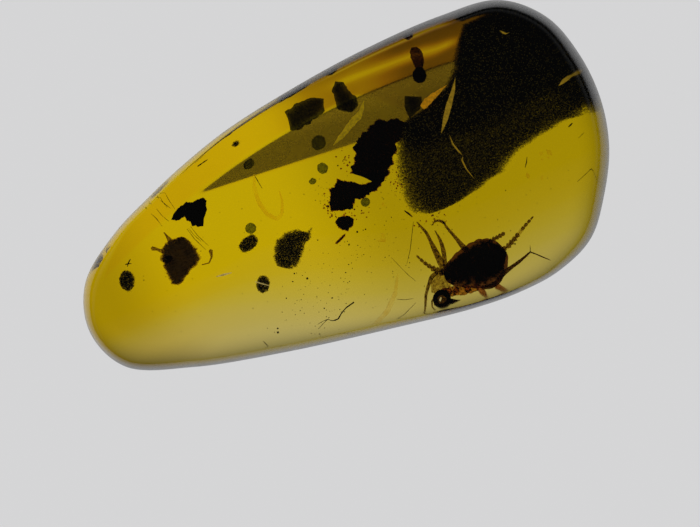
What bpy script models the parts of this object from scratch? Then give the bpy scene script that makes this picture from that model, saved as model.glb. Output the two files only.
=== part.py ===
"""Insect in amber: a polished pebble of clear amber that holds a small insect and scraps of plant.

Frame: +X runs along the pebble to its broad end, +Y across it, +Z up from the flat ground base.
Design values are in millimetres; MM turns them into Blender's metres.

The pebble is one stone. It is parted here along the old resin flow on which everything inside it
lies, so that each inclusion can sit in a pocket that opens on that surface.
"""
import math

import bmesh
import bpy
import numpy as np
from mathutils import Matrix, Vector

MM = 0.001

# ---- driving dimensions of the stone, in millimetres ----
OUTLINE = [
    (13.95, 0.0), (13.9, 2.5), (13.2, 4.8), (11.4, 6.55), (8.4, 7.05), (4.1, 7.1), (0.0, 6.8),
    (-3.7, 6.3), (-6.6, 5.55), (-8.5, 4.9), (-10.85, 3.95), (-13.2, 2.3), (-14.0, 0.0),
    (-13.1, -2.3), (-10.1, -3.7), (-5.8, -4.9), (0.0, -6.15), (4.0, -6.9), (6.4, -7.1),
    (8.5, -6.95), (10.6, -6.15), (12.15, -4.4), (13.35, -2.35),
]
HEIGHT = 6.4                    # base to the crest of the saddleback top
CREST = 1.0                     # where the crest runs along Y
CROSS_CURVE = (0.039, 0.011)    # curve across the top, per mm: at the narrow end, at the broad end
CROSS_EASE = (-5.0, 11.0)       # the stretch of X over which one eases into the other
LONG_CURVE = 0.004              # curve along the top, per mm
GIRDLE = 3.4                    # height of the widest line on the lower flank
GIRDLE_CLIMB = 0.9              # how much higher that line runs on the +Y flank
TOP_ROLL = (0.95, 0.4, 0.0)     # width of the upper edge roll: mean, more at +X, more at +Y
UNDER_ROLL = (0.75, 0.2, 0.05)  # the same for the lower edge roll
ROLL_POWER = 2.0                # 2 is an elliptical roll, less is flatter
ROLL_STEPS = (0.03, 0.12, 0.27, 0.48, 0.73, 1.0)
CROWN_STEPS = (0.8, 0.55, 0.28)
AROUND = 60
BASE_CORNERS = 12               # corners of the flat base, so that it stands still on them

# ---- the step under the +Y flank, where a flake of the stone has come away ----
STEP_SLOPE = 46.0               # degrees
STEP_HEADING = -6.0             # degrees that its foot turns from +X
STEP_FOOT = 3.06                # distance of the foot from the origin
STEP_BROW = 5.05                # furthest +Y of its upper edge, reached at x = STEP_BROW_AT
STEP_BROW_AT = 3.5
STEP_BROW_BEND = 0.0125         # how fast that edge falls back on both sides
SHELF_SLOPE = 8.0               # degrees, of the face beyond the step
STEP_START = -8.0               # where the cut begins along X, clear of the stone's narrow end
STEP_SECTIONS = 12

# ---- the old flow surface ----
FLOW_LEVEL = 3.13
FLOW_TILT = (0.03, 0.10)        # rise per millimetre along X and Y
FLOW_DOME = 0.35
HALF_LENGTH = 14.0
HALF_WIDTH = 7.1
GAP = 0.3                       # clearance between neighbouring pieces
MARGIN = 3.0                    # how far a cutter reaches past the stone
SHARP_ANGLE = 35.0              # degrees above which an edge is drawn sharp

# ---- how finely the small shapes are made ----
WELD = 0.002
BEVEL_SHARE = 0.3               # a scrap's edge bevel, as a share of its thickness
BODY_ROUND = (12, 8)            # segments and rings of the insect's rounded parts
SMALL_ROUND = (10, 6)           # the same for small pieces and for pockets

# ---- flat scraps: outline in plan, thickness, height above the flow surface ----
SCRAPS = {
    "bark_crust": dict(
        outline=[(9.1, 5.9), (10.9, 5.45), (12.0, 4.2), (12.55, 2.9), (12.75, 1.4), (12.7, 0.1),
                 (12.1, -0.4), (10.7, -0.45), (9.2, -0.9), (7.7, -1.4), (6.0, -1.75), (4.6, -1.85),
                 (3.7, -1.5), (3.35, -0.4), (3.75, 1.0), (4.9, 2.1), (6.0, 2.9), (7.2, 3.3), (8.1, 4.3)],
        thickness=0.7, lift=0.2, finish="bark"),
    "wood_fragment": dict(
        outline=[(2.0, 3.1), (2.8, 3.5), (3.5, 3.4), (4.6, 3.2), (5.0, 2.9), (4.4, 2.35), (3.7, 1.95),
                 (3.2, 1.5), (2.75, 1.0), (2.2, 0.55), (1.5, 0.42), (0.85, 0.44), (0.4, 0.28),
                 (-0.25, 0.3), (-0.6, 0.52), (-0.26, 1.2), (0.35, 1.7), (1.2, 1.95), (1.55, 2.4)],
        thickness=0.6, lift=0.1, finish="wood"),
    "wood_crumb": dict(
        outline=[(-0.55, 0.1), (-0.05, 0.02), (0.26, -0.32), (0.05, -0.62), (-0.5, -0.45), (-0.64, -0.12)],
        thickness=0.4, lift=0.0, finish="wood"),
    "black_flake": dict(
        outline=[(-7.97, 3.31), (-7.48, 3.56), (-7.01, 3.75), (-6.28, 3.7), (-5.98, 3.37), (-6.2, 3.03),
                 (-6.55, 2.42), (-7.0, 2.49), (-7.2, 2.79), (-7.26, 3.08), (-7.56, 3.12)],
        thickness=0.3, lift=0.0, finish="charred"),
    "brown_flake": dict(
        outline=[(-7.69, 2.35), (-7.42, 1.89), (-7.34, 0.97), (-8.0, 0.64), (-8.99, 0.27),
                 (-9.41, 0.53), (-9.3, 1.11), (-9.37, 1.77), (-9.03, 2.33), (-8.58, 2.5), (-8.09, 2.45)],
        thickness=0.35, lift=-0.05, finish="leaf"),
    "pear_flake": dict(
        outline=[(-1.69, 0.18), (-2.5, 0.5), (-3.1, 0.57), (-3.83, 0.34), (-4.19, -0.27),
                 (-4.15, -0.89), (-3.54, -1.25), (-3.06, -1.28), (-2.72, -0.94), (-2.22, -0.51)],
        thickness=0.4, lift=0.0, finish="frass"),
    "edge_clot_left": dict(
        outline=[(-0.64, 5.75), (0.11, 5.85), (0.97, 5.78), (1.45, 5.5), (1.35, 5.17), (0.63, 4.85),
                 (-0.08, 4.67), (-0.7, 4.71), (-0.65, 5.1)],
        thickness=0.5, lift=0.1, finish="leaf"),
    "edge_clot_right": dict(
        outline=[(2.2, 6.0), (2.6, 5.95), (2.7, 5.5), (2.93, 5.09), (2.85, 4.59), (2.46, 4.4),
                 (2.1, 4.65), (2.05, 5.1), (2.15, 5.55)],
        thickness=0.5, lift=0.1, finish="leaf"),
}

# ---- rounded pieces: centre in plan, half-axes, turn in degrees ----
PELLETS = {
    "pellet_left": dict(at=(-11.22, 1.54), half=(0.46, 0.6, 0.35), turn=-20, finish="frass"),
    "pellet_upper": dict(at=(-4.98, 0.74), half=(0.65, 0.42, 0.32), turn=12, finish="frass"),
    "pellet_lower": dict(at=(-5.16, -1.3), half=(0.53, 0.37, 0.3), turn=55, finish="frass"),
    "pellet_high": dict(at=(0.26, 3.76), half=(0.36, 0.34, 0.25), turn=0, finish="frass"),
    "spore_near_rim": dict(at=(-3.49, 5.35), half=(0.26, 0.18, 0.16), turn=10, finish="frass"),
    "black_drop": dict(at=(6.25, 4.75), half=(0.42, 0.36, 0.3), turn=65, finish="charred"),
    "red_speck": dict(at=(-5.7, -4.1), half=(0.26, 0.14, 0.14), turn=-18, finish="cuticle"),
}

# ---- thin pieces: path in plan, height above the flow surface, radii at the two ends ----
THREADS = {
    "root_thread": dict(
        path=[(-3.2, -4.2), (-2.8, -4.1), (-2.5, -4.3), (-2.1, -4.12), (-1.4, -3.95)],
        lift=0.0, radii=(0.07, 0.07), finish="leaf"),
    "wood_splinter": dict(
        path=[(-0.42, -0.8), (-0.75, -0.9), (-1.1, -1.02)],
        lift=0.0, radii=(0.12, 0.05), finish="wood"),
}

# ---- the insect: rounded body parts (centre, height, half-axes, turn) and limbs ----
BODY_PARTS = [
    ("abdomen", (4.9, -4.75), 0.0, (1.72, 1.2, 0.62), -9),
    ("forebody", (3.15, -4.85), 0.02, (0.66, 0.6, 0.36), 20),
    ("neck", (3.62, -5.55), -0.02, (0.85, 0.34, 0.26), -14),
    ("head", (2.65, -5.68), 0.0, (0.46, 0.46, 0.4), 0),
    ("mouthparts", (3.1, -5.92), -0.05, (0.34, 0.14, 0.14), -30),
]
LIMBS = {
    "fore_leg": dict(path=[(3.0, -4.5), (2.63, -4.41), (2.28, -4.76), (1.95, -5.17), (1.56, -5.75)],
                     lift=0.1, radii=(0.13, 0.05)),
    "mid_leg": dict(path=[(3.4, -4.5), (3.33, -4.05), (3.31, -3.3), (3.27, -2.4), (3.05, -1.72), (2.8, -1.2)],
                    lift=0.05, radii=(0.15, 0.04)),
    "second_mid_leg": dict(path=[(3.6, -4.45), (3.66, -3.65), (3.74, -2.95), (3.69, -2.46)],
                           lift=-0.1, radii=(0.12, 0.05)),
    "long_leg": dict(path=[(4.8, -4.1), (4.56, -3.5), (4.46, -3.12), (4.28, -2.53), (4.1, -2.1)],
                     lift=0.05, radii=(0.14, 0.05)),
    "feeler": dict(path=[(3.3, -4.55), (2.94, -4.22), (2.74, -3.93), (2.36, -3.2)],
                   lift=0.0, radii=(0.14, 0.05)),
    "short_tail_feeler": dict(path=[(5.6, -4.2), (6.1, -4.07), (6.75, -4.02)], lift=0.05, radii=(0.1, 0.06)),
    "long_tail_feeler": dict(path=[(6.1, -4.72), (6.66, -4.65), (7.22, -4.44), (7.8, -4.15), (8.4, -3.88)],
                             lift=0.05, radii=(0.11, 0.04)),
    "hind_leg": dict(path=[(4.9, -5.4), (5.47, -5.95), (5.94, -5.76), (6.85, -5.6), (7.57, -5.39),
                           (8.25, -6.05)],
                     lift=0.0, radii=(0.16, 0.05)),
    "far_leg": dict(path=[(4.5, -5.4), (4.6, -5.95), (4.72, -6.35)], lift=-0.15, radii=(0.13, 0.08)),
    "far_hind_leg": dict(path=[(5.3, -5.5), (5.41, -6.05), (5.7, -6.4)], lift=-0.15, radii=(0.13, 0.08)),
}

# ---- finishes: colour, roughness, transmission ----
FINISHES = {
    "amber": ((0.55, 0.36, 0.03), 0.05, 1.0),
    "cuticle": ((0.035, 0.012, 0.006), 0.45, 0.0),
    "bark": ((0.012, 0.011, 0.006), 0.8, 0.0),
    "wood": ((0.016, 0.008, 0.004), 0.75, 0.0),
    "charred": ((0.004, 0.003, 0.002), 0.7, 0.0),
    "leaf": ((0.045, 0.028, 0.008), 0.7, 0.0),
    "frass": ((0.05, 0.055, 0.02), 0.8, 0.0),
}


def clear_scene():
    for item in list(bpy.data.objects):
        bpy.data.objects.remove(item, do_unlink=True)


def new_collection(name):
    group = bpy.data.collections.new(name)
    bpy.context.scene.collection.children.link(group)
    return group


def finish_material(name):
    """One Principled material for each finish, made the first time it is asked for."""
    if name in bpy.data.materials:
        return bpy.data.materials[name]
    colour, roughness, transmission = FINISHES[name]
    material = bpy.data.materials.new(name)
    material.use_nodes = True
    shader = material.node_tree.nodes["Principled BSDF"]
    shader.inputs["Base Color"].default_value = (*colour, 1.0)
    shader.inputs["Roughness"].default_value = roughness
    shader.inputs["Transmission Weight"].default_value = transmission
    shader.inputs["IOR"].default_value = 1.54
    return material


def add_object(name, mesh, group, finish=None):
    item = bpy.data.objects.new(name, mesh)
    group.objects.link(item)
    if finish:
        mesh.materials.append(finish_material(finish))
    else:
        item.hide_render = True
        item.display_type = "WIRE"
    return item


def mesh_from(name, points, faces):
    """A closed mesh; its quads may be warped and become triangles, its larger faces are flat."""
    mesh = bpy.data.meshes.new(name)
    mesh.from_pydata((np.asarray(points) * MM).tolist(), [], faces)
    shape = bmesh.new()
    shape.from_mesh(mesh)
    bmesh.ops.remove_doubles(shape, verts=shape.verts, dist=WELD * MM)
    bmesh.ops.recalc_face_normals(shape, faces=shape.faces)
    bmesh.ops.triangulate(shape, faces=[face for face in shape.faces if len(face.verts) == 4])
    shape.to_mesh(mesh)
    shape.free()
    return mesh


def mesh_of_curve(name, curve, matrix):
    """The welded mesh of a curve, so that it can be cut and joined."""
    holder = bpy.data.objects.new(name, curve)
    bpy.context.scene.collection.objects.link(holder)
    holder.matrix_world = matrix
    evaluated = holder.evaluated_get(bpy.context.evaluated_depsgraph_get())
    mesh = bpy.data.meshes.new_from_object(evaluated)
    mesh.name = name
    mesh.transform(matrix)
    shape = bmesh.new()
    shape.from_mesh(mesh)
    bmesh.ops.remove_doubles(shape, verts=shape.verts, dist=WELD * MM)
    bmesh.ops.recalc_face_normals(shape, faces=shape.faces)
    shape.to_mesh(mesh)
    shape.free()
    bpy.data.objects.remove(holder)
    return mesh


def add_boolean(item, operation, operand):
    """Cuts item by an object, or by every object of a collection."""
    modifier = item.modifiers.new(operation.lower(), "BOOLEAN")
    modifier.operation = operation
    modifier.solver = "EXACT"
    if isinstance(operand, bpy.types.Collection):
        modifier.operand_type = "COLLECTION"
        modifier.collection = operand
    else:
        modifier.object = operand


# ---- the flow surface ----
def flow_height(x, y):
    """Height of the old flow surface: a tilted plane with a low dome on it."""
    dome = FLOW_DOME * (1.0 - (x / HALF_LENGTH) ** 2 - (y / HALF_WIDTH) ** 2)
    return FLOW_LEVEL + FLOW_TILT[0] * x + FLOW_TILT[1] * y + dome


def flow_placement(x, y, lift=0.0):
    """The matrix that lays a piece on the flow surface at x, y, in metres."""
    slope_x = FLOW_TILT[0] - 2.0 * FLOW_DOME * x / HALF_LENGTH ** 2
    slope_y = FLOW_TILT[1] - 2.0 * FLOW_DOME * y / HALF_WIDTH ** 2
    normal = Vector((-slope_x, -slope_y, 1.0)).normalized()
    turn = Vector((0.0, 0.0, 1.0)).rotation_difference(normal)
    place = Vector((x, y, flow_height(x, y) + lift)) * MM
    return Matrix.Translation(place) @ turn.to_matrix().to_4x4()


def flow_block(name, group, side):
    """A thick slab whose lower (side 1) or upper (side -1) face follows the flow surface."""
    shape = bmesh.new()
    bmesh.ops.create_grid(shape, x_segments=18, y_segments=12, size=1.0)
    for vertex in shape.verts:
        x = vertex.co.x * (HALF_LENGTH + MARGIN)
        y = vertex.co.y * (HALF_WIDTH + MARGIN)
        vertex.co = Vector((x, y, flow_height(x, y) + side * GAP / 2)) * MM
    bmesh.ops.triangulate(shape, faces=shape.faces)
    mesh = bpy.data.meshes.new(name)
    shape.to_mesh(mesh)
    shape.free()
    block = add_object(name, mesh, group)
    thicken = block.modifiers.new("thicken", "SOLIDIFY")
    thicken.thickness = 2.0 * HEIGHT * MM
    thicken.offset = side
    return block


# ---- the stone ----
def closed_curve(points, count):
    """Centripetal Catmull-Rom curve through points, closed, as an array of count places."""
    points = np.asarray(points, float)
    total = len(points)
    stride = np.sqrt(np.linalg.norm(np.roll(points, -1, 0) - points, axis=1))
    knots = np.concatenate([[0.0], np.cumsum(stride)])
    t = np.linspace(0.0, knots[-1], count, endpoint=False)
    i = np.clip(np.searchsorted(knots, t, side="right") - 1, 0, total - 1)
    k1, k2 = knots[i], knots[i + 1]
    k0, k3 = k1 - stride[i - 1], k2 + stride[(i + 1) % total]
    t, k0, k1, k2, k3 = (a[:, None] for a in (t, k0, k1, k2, k3))
    p0, p1, p2, p3 = (points[(i + shift) % total] for shift in (-1, 0, 1, 2))
    a1 = ((k1 - t) * p0 + (t - k0) * p1) / (k1 - k0)
    a2 = ((k2 - t) * p1 + (t - k1) * p2) / (k2 - k1)
    a3 = ((k3 - t) * p2 + (t - k2) * p3) / (k3 - k2)
    b1 = ((k2 - t) * a1 + (t - k0) * a2) / (k2 - k0)
    b2 = ((k3 - t) * a2 + (t - k1) * a3) / (k3 - k1)
    return ((k2 - t) * b1 + (t - k1) * b2) / (k2 - k1)


def outward_normals(loop):
    """Unit normals of a closed anticlockwise loop."""
    tangent = np.roll(loop, -1, 0) - np.roll(loop, 1, 0)
    tangent /= np.linalg.norm(tangent, axis=1)[:, None]
    return np.stack([tangent[:, 1], -tangent[:, 0]], axis=1)


def ring_faces(rings, around):
    """Quads between each two neighbouring rings of a stack."""
    ring, column = np.meshgrid(np.arange(rings - 1), np.arange(around), indexing="ij")
    here = ring * around + column
    beside = ring * around + (column + 1) % around
    return np.stack([here, beside, beside + around, here + around], axis=-1).reshape(-1, 4).tolist()


def smooth_step(value):
    value = np.clip(value, 0.0, 1.0)
    return value * value * (3.0 - 2.0 * value)


def top_height(x, y):
    """Height of the top: a saddleback that is rounder across at the narrow end."""
    share = smooth_step((CROSS_EASE[1] - x) / (CROSS_EASE[1] - CROSS_EASE[0]))
    cross = CROSS_CURVE[1] + (CROSS_CURVE[0] - CROSS_CURVE[1]) * share
    return HEIGHT - cross * (y - CREST) ** 2 / 2.0 - LONG_CURVE * x ** 2 / 2.0


def pebble_mesh():
    """Rings from the flat base out to the girdle and over the top, closed by the base and a pole."""
    loop = closed_curve(OUTLINE, AROUND)
    normal = outward_normals(loop)
    reach = (loop * normal).sum(axis=1)
    girdle = GIRDLE + GIRDLE_CLIMB * smooth_step(normal[:, 1])
    top_roll, under_roll = (r[0] + r[1] * normal[:, 0] + r[2] * normal[:, 1] for r in (TOP_ROLL, UNDER_ROLL))

    def rolled(step):
        return (1.0 - (1.0 - step) ** ROLL_POWER) ** (1.0 / ROLL_POWER)

    def under_ring(step):
        scale = 1.0 - step * under_roll / reach
        return np.column_stack([loop * scale[:, None], girdle * (1.0 - rolled(step))])

    def top_ring(scale, step):
        place = loop * scale[:, None]
        return np.column_stack([place, girdle + (top_height(*place.T) - girdle) * rolled(step)])

    corner = np.round(np.arange(AROUND) * BASE_CORNERS / AROUND).astype(int) * (AROUND // BASE_CORNERS)
    rings = [under_ring(step) for step in reversed(ROLL_STEPS)]
    rings.append(np.column_stack([loop, girdle]))
    rings += [top_ring(1.0 - step * top_roll / reach, step) for step in ROLL_STEPS]
    inner = 1.0 - top_roll / reach
    rings += [top_ring(inner * step, 1.0) for step in CROWN_STEPS]

    rings[0] = rings[0][corner % AROUND]
    points = np.concatenate(rings + [[[0.0, 0.0, top_height(0.0, 0.0)]]])
    faces = ring_faces(len(rings), AROUND)
    faces.append(list(range(0, AROUND, AROUND // BASE_CORNERS))[::-1])
    last = (len(rings) - 1) * AROUND
    faces += [[last + i, last + (i + 1) % AROUND, len(points) - 1] for i in range(AROUND)]
    return mesh_from("pebble", points, faces)


def step_cutter(group):
    """The missing flake: below the sloping step, which is flat, and the shelf beyond it."""
    slope = math.tan(math.radians(STEP_SLOPE))
    turn = math.radians(STEP_HEADING)
    across = (-math.sin(turn), math.cos(turn))
    below, beyond = MARGIN, HALF_WIDTH + MARGIN
    sections = []
    for x in np.linspace(STEP_START, HALF_LENGTH + MARGIN, STEP_SECTIONS):
        foot = (STEP_FOOT - below / slope - across[0] * x) / across[1]
        brow = STEP_BROW - STEP_BROW_BEND * (x - STEP_BROW_AT) ** 2
        brow_height = slope * (across[0] * x + across[1] * brow - STEP_FOOT)
        rim_height = brow_height + math.tan(math.radians(SHELF_SLOPE)) * (beyond - brow)
        sections += [(x, foot, -below), (x, brow, brow_height), (x, beyond, rim_height), (x, beyond, -below)]
    last = len(sections) - 4
    step = [0, *range(1, last + 2, 4), last]
    beneath = [*range(0, last + 1, 4), *range(last + 3, 0, -4)]
    faces = [face for face in ring_faces(STEP_SECTIONS, 4) if face[0] % 4 in (1, 2)]
    faces += [step, beneath, [0, 1, 2, 3], [last, last + 1, last + 2, last + 3]]
    return add_object("step_cutter", mesh_from("step_cutter", sections, faces), group)


# ---- shapes of the inclusions; grow makes the pocket of the same shape ----
def ellipsoid_mesh(name, half, turn, place, grow=0.0, round_by=SMALL_ROUND):
    shape = bmesh.new()
    bmesh.ops.create_uvsphere(shape, u_segments=round_by[0], v_segments=round_by[1], radius=1.0)
    mesh = bpy.data.meshes.new(name)
    shape.to_mesh(mesh)
    shape.free()
    size = Matrix.Diagonal([(h + grow) * MM for h in half] + [1.0])
    mesh.transform(place @ Matrix.Rotation(math.radians(turn), 4, "Z") @ size)
    return mesh


def plate_mesh(name, outline, thickness, lift, grow=0.0):
    """A flat scrap of an outline, laid on the flow surface, with its edge bevelled."""
    loop = np.asarray(outline)
    centre = loop.mean(axis=0)
    if np.cross(loop - centre, np.roll(loop, -1, 0) - centre).sum() < 0.0:
        loop = loop[::-1]
    loop = loop + outward_normals(loop) * grow - centre
    curve = bpy.data.curves.new(name, "CURVE")
    curve.dimensions = "2D"
    curve.fill_mode = "BOTH"
    edge = 0.0 if grow else BEVEL_SHARE * thickness
    curve.extrude = (thickness / 2 + grow - edge) * MM
    curve.bevel_depth = edge * MM
    curve.bevel_resolution = 0
    curve.offset = -edge * MM
    spline = curve.splines.new("POLY")
    spline.points.add(len(loop) - 1)
    for point, (x, y) in zip(spline.points, loop):
        point.co = (x * MM, y * MM, 0.0, 1.0)
    spline.use_cyclic_u = True
    return mesh_of_curve(name, curve, flow_placement(*centre, lift))


def limb_mesh(name, path, lift, radii, grow=0.0):
    """A thin tapering rod that follows the flow surface."""
    curve = bpy.data.curves.new(name, "CURVE")
    curve.dimensions = "3D"
    curve.fill_mode = "FULL"
    curve.bevel_depth = MM
    curve.bevel_resolution = 1
    curve.use_fill_caps = True
    spline = curve.splines.new("POLY")
    spline.points.add(len(path) - 1)
    along = np.linspace(0.0, 1.0, len(path))
    thick = radii[0] + (radii[1] - radii[0]) * along + grow
    for point, (x, y), radius in zip(spline.points, path, thick):
        point.co = (x * MM, y * MM, (flow_height(x, y) + lift) * MM, 1.0)
        point.radius = radius
    return mesh_of_curve(name, curve, Matrix.Identity(4))


def build_insect(parts, pockets):
    """The whole insect as one solid: body parts and limbs joined by a union."""
    members = new_collection("insect_members")
    first = None
    for name, (x, y), lift, half, turn in BODY_PARTS:
        place = flow_placement(x, y, lift)
        mesh = ellipsoid_mesh(name, half, turn, place, round_by=BODY_ROUND)
        if first is None:
            first = add_object(name, mesh, parts)
        else:
            add_object(name, mesh, members)
        add_object(name + "_pocket", ellipsoid_mesh(name + "_pocket", half, turn, place, GAP), pockets)
    for name, limb in LIMBS.items():
        add_object(name, limb_mesh(name, **limb), members)
        add_object(name + "_pocket", limb_mesh(name + "_pocket", **limb, grow=GAP), pockets)
    add_boolean(first, "UNION", members)
    joined = bpy.data.meshes.new_from_object(first.evaluated_get(bpy.context.evaluated_depsgraph_get()))
    for item in [first] + list(members.objects):
        bpy.data.objects.remove(item)
    bpy.data.collections.remove(members)
    joined.name = "insect"
    joined.materials.clear()
    add_object("insect", joined, parts, "cuticle")


def build_inclusions(parts, pockets):
    for name, scrap in SCRAPS.items():
        shape = {key: scrap[key] for key in ("outline", "thickness", "lift")}
        add_object(name, plate_mesh(name, **shape), parts, scrap["finish"])
        add_object(name + "_pocket", plate_mesh(name + "_pocket", **shape, grow=GAP), pockets)
    for name, pellet in PELLETS.items():
        place = flow_placement(*pellet["at"])
        half, turn = pellet["half"], pellet["turn"]
        add_object(name, ellipsoid_mesh(name, half, turn, place), parts, pellet["finish"])
        add_object(name + "_pocket", ellipsoid_mesh(name + "_pocket", half, turn, place, GAP), pockets)
    for name, thread in THREADS.items():
        shape = {key: thread[key] for key in ("path", "lift", "radii")}
        add_object(name, limb_mesh(name, **shape), parts, thread["finish"])
        add_object(name + "_pocket", limb_mesh(name + "_pocket", **shape, grow=GAP), pockets)


def build_stone(parts, cutters, pockets):
    """The pebble in two halves that meet, but for the clearance, on the flow surface."""
    pebble = pebble_mesh()
    step = step_cutter(cutters)
    for name, side in (("amber_top", 1), ("amber_base", -1)):
        half = add_object(name, pebble.copy(), parts, "amber")
        add_boolean(half, "DIFFERENCE", step)
        add_boolean(half, "INTERSECT", flow_block(name + "_block", cutters, side))
        add_boolean(half, "DIFFERENCE", pockets)


def main():
    clear_scene()
    parts = new_collection("insect_in_amber")
    cutters = new_collection("cutters")
    pockets = new_collection("pockets")
    build_insect(parts, pockets)
    build_inclusions(parts, pockets)
    build_stone(parts, cutters, pockets)
    for item in parts.objects:
        item.data.shade_smooth()
        item.data.set_sharp_from_angle(angle=math.radians(SHARP_ANGLE))


main()
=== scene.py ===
import math
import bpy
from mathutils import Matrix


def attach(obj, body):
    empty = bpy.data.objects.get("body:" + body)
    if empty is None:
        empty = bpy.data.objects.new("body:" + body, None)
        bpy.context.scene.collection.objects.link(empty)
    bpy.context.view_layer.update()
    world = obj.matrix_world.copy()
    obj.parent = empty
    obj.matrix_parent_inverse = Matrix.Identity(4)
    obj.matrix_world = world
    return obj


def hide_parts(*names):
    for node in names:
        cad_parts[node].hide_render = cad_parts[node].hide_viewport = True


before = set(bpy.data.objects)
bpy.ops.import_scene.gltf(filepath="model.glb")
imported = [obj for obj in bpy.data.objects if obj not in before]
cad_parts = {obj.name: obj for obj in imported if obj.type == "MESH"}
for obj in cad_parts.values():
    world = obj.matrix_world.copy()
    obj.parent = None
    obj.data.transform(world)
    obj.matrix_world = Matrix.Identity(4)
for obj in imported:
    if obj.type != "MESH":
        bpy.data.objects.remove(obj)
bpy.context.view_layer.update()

from types import SimpleNamespace

import bpy
import numpy as np
from mathutils import Vector

mm = 0.001
rootBody = "root"
print("frame loaded:", len(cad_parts), "nodes")


def tint(code):
    # sRGB hex to linear light: a plain share below 0.04045, the 2.4 power above it
    share = np.array([int(code[i:i + 2], 16) for i in (1, 3, 5)]) / 255.0
    linear = np.where(share <= 0.04045, share / 12.92, ((share + 0.055) / 1.055) ** 2.4)
    return (*linear.tolist(), 1.0)


def addNode(tree, kind, settings, give=0):
    # adds a node and hands back its output named by give. Settings are inputs by name or number, or the
    # node's own properties: a socket is linked, text is an sRGB colour, stops are a ramp's colours
    node = tree.nodes.new("ShaderNode" + kind)
    for key, value in settings.items():
        if key == "stops":
            ramp = node.color_ramp.elements
            while len(ramp) < len(value):
                ramp.new(0.5)
            for element, (place, code) in zip(ramp, value):
                element.position, element.color = place, tint(code)
        elif not isinstance(key, int) and key not in node.inputs:
            setattr(node, key, value)
        elif isinstance(value, bpy.types.NodeSocket):
            tree.links.new(value, node.inputs[key])
        else:
            node.inputs[key].default_value = tint(value) if isinstance(value, str) else value
    return node.outputs[give] if len(node.outputs) else node


def newMaterial(name, build, *settings, **named):
    # a material whose output takes what the build function makes of its tree and object coordinates
    material = bpy.data.materials.new(name)
    material.use_nodes = True
    tree = material.node_tree
    tree.nodes.clear()
    place = addNode(tree, "TexCoord", {}, "Object")
    addNode(tree, "OutputMaterial", build(tree, place, *settings, **named))
    return material


def readMarks(tree, *names):
    # the values that a mesh carries under these names, one socket for each
    return [addNode(tree, "Attribute", {"attribute_name": name}, "Fac") for name in names]


def noiseValue(points, grain, seed):
    # value noise: a random number at each corner of a cubic lattice of pitch grain, smoothly blended
    scaled = np.asarray(points, float) / grain
    cell = np.floor(scaled).astype(np.int64)
    part = scaled - cell
    part = part * part * (3.0 - 2.0 * part)
    total = 0.0
    for corner in np.ndindex(2, 2, 2):
        n = (cell + corner) @ np.array([374761393, 668265263, 2147483647]) + seed * 974711
        n = (n ^ (n >> 13)) * 1274126177
        value = ((n ^ (n >> 16)) & 0xFFFF) / 65535.0
        weight = np.prod(np.where(np.array(corner) == 1, part, 1.0 - part), axis=-1)
        total = total + value * weight
    return total


def layeredNoise(points, grain, seed, layers=3):
    # several value noises added, each half as large and half as strong, about zero
    return sum((noiseValue(points, grain / 2 ** k, seed + k) - 0.5) / 2 ** k for k in range(layers))


def wrapGrid(grid, first, last):
    # closed skin: neighbouring rings of a grid joined by triangles, both ends drawn to one point
    rings, around = grid.shape[:2]
    points = np.concatenate([grid.reshape(-1, 3), [first], [last]])
    ring, column = np.meshgrid(np.arange(rings - 1), np.arange(around), indexing="ij")
    a = (ring * around + column).ravel()
    b = (ring * around + (column + 1) % around).ravel()
    k = np.arange(around)
    beside = (k + 1) % around
    top = (rings - 1) * around
    start, end = np.full(around, rings * around), np.full(around, rings * around + 1)
    faces = np.concatenate([
        np.stack([a, b, b + around], 1), np.stack([a, b + around, a + around], 1),
        np.stack([start, beside, k], 1), np.stack([end, top + k, top + beside], 1)])
    corner = points[faces]
    volume = (corner[:, 0] * np.cross(corner[:, 1], corner[:, 2])).sum()
    return points, faces if volume > 0.0 else faces[:, ::-1]

def makePiece(name, shapes, material, slot, *stands, **marks):
    # one object from closed shapes in millimetres, in place of the nodes that it stands for; marks are
    # values for its points, and a shape's own third array says how near its edge each point lies
    points, faces, edges, count = [], [], [], 0
    for shapePoints, shapeFaces, *edge in shapes:
        points.append(shapePoints)
        faces.append(shapeFaces + count)
        edges.append(edge[0] if edge else np.zeros(len(shapePoints)))
        count += len(shapePoints)
    points, faces, marks["edge"] = np.concatenate(points), np.concatenate(faces), np.concatenate(edges)
    mesh = bpy.data.meshes.new(name)
    mesh.from_pydata((points * mm).tolist(), [], faces.tolist())
    mesh.shade_smooth()
    for mark, values in marks.items():
        mesh.attributes.new(mark, "FLOAT", "POINT").data.foreach_set("value", values.astype(np.float32))
    mesh.materials.append(material)
    piece = bpy.data.objects.new(name, mesh)
    bpy.context.scene.collection.objects.link(piece)
    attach(piece, rootBody)
    if stands:
        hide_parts(*stands)


def ease(value, start, end):
    # 0 at start and 1 at end, between them 3u^2 - 2u^3, where u is the share of the way
    u = np.clip((value - start) / (end - start), 0.0, 1.0)
    return u * u * (3.0 - 2.0 * u)


def between(pair, share):
    # the first of a pair, moved towards the second by a share of their difference
    return pair[0] + (pair[1] - pair[0]) * share


# the old flow surface inside the stone, on which everything lies
flow = dict(level=3.13, riseX=0.03, riseY=0.10, dome=0.35, halfLength=14.0, halfWidth=7.1)


def flowHeight(x, y):
    # a tilted plane with a low dome: level + rise along X and Y + dome * (1 - (x/L)^2 - (y/W)^2)
    dome = flow["dome"] * (1.0 - (x / flow["halfLength"]) ** 2 - (y / flow["halfWidth"]) ** 2)
    return flow["level"] + flow["riseX"] * x + flow["riseY"] * y + dome

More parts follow.
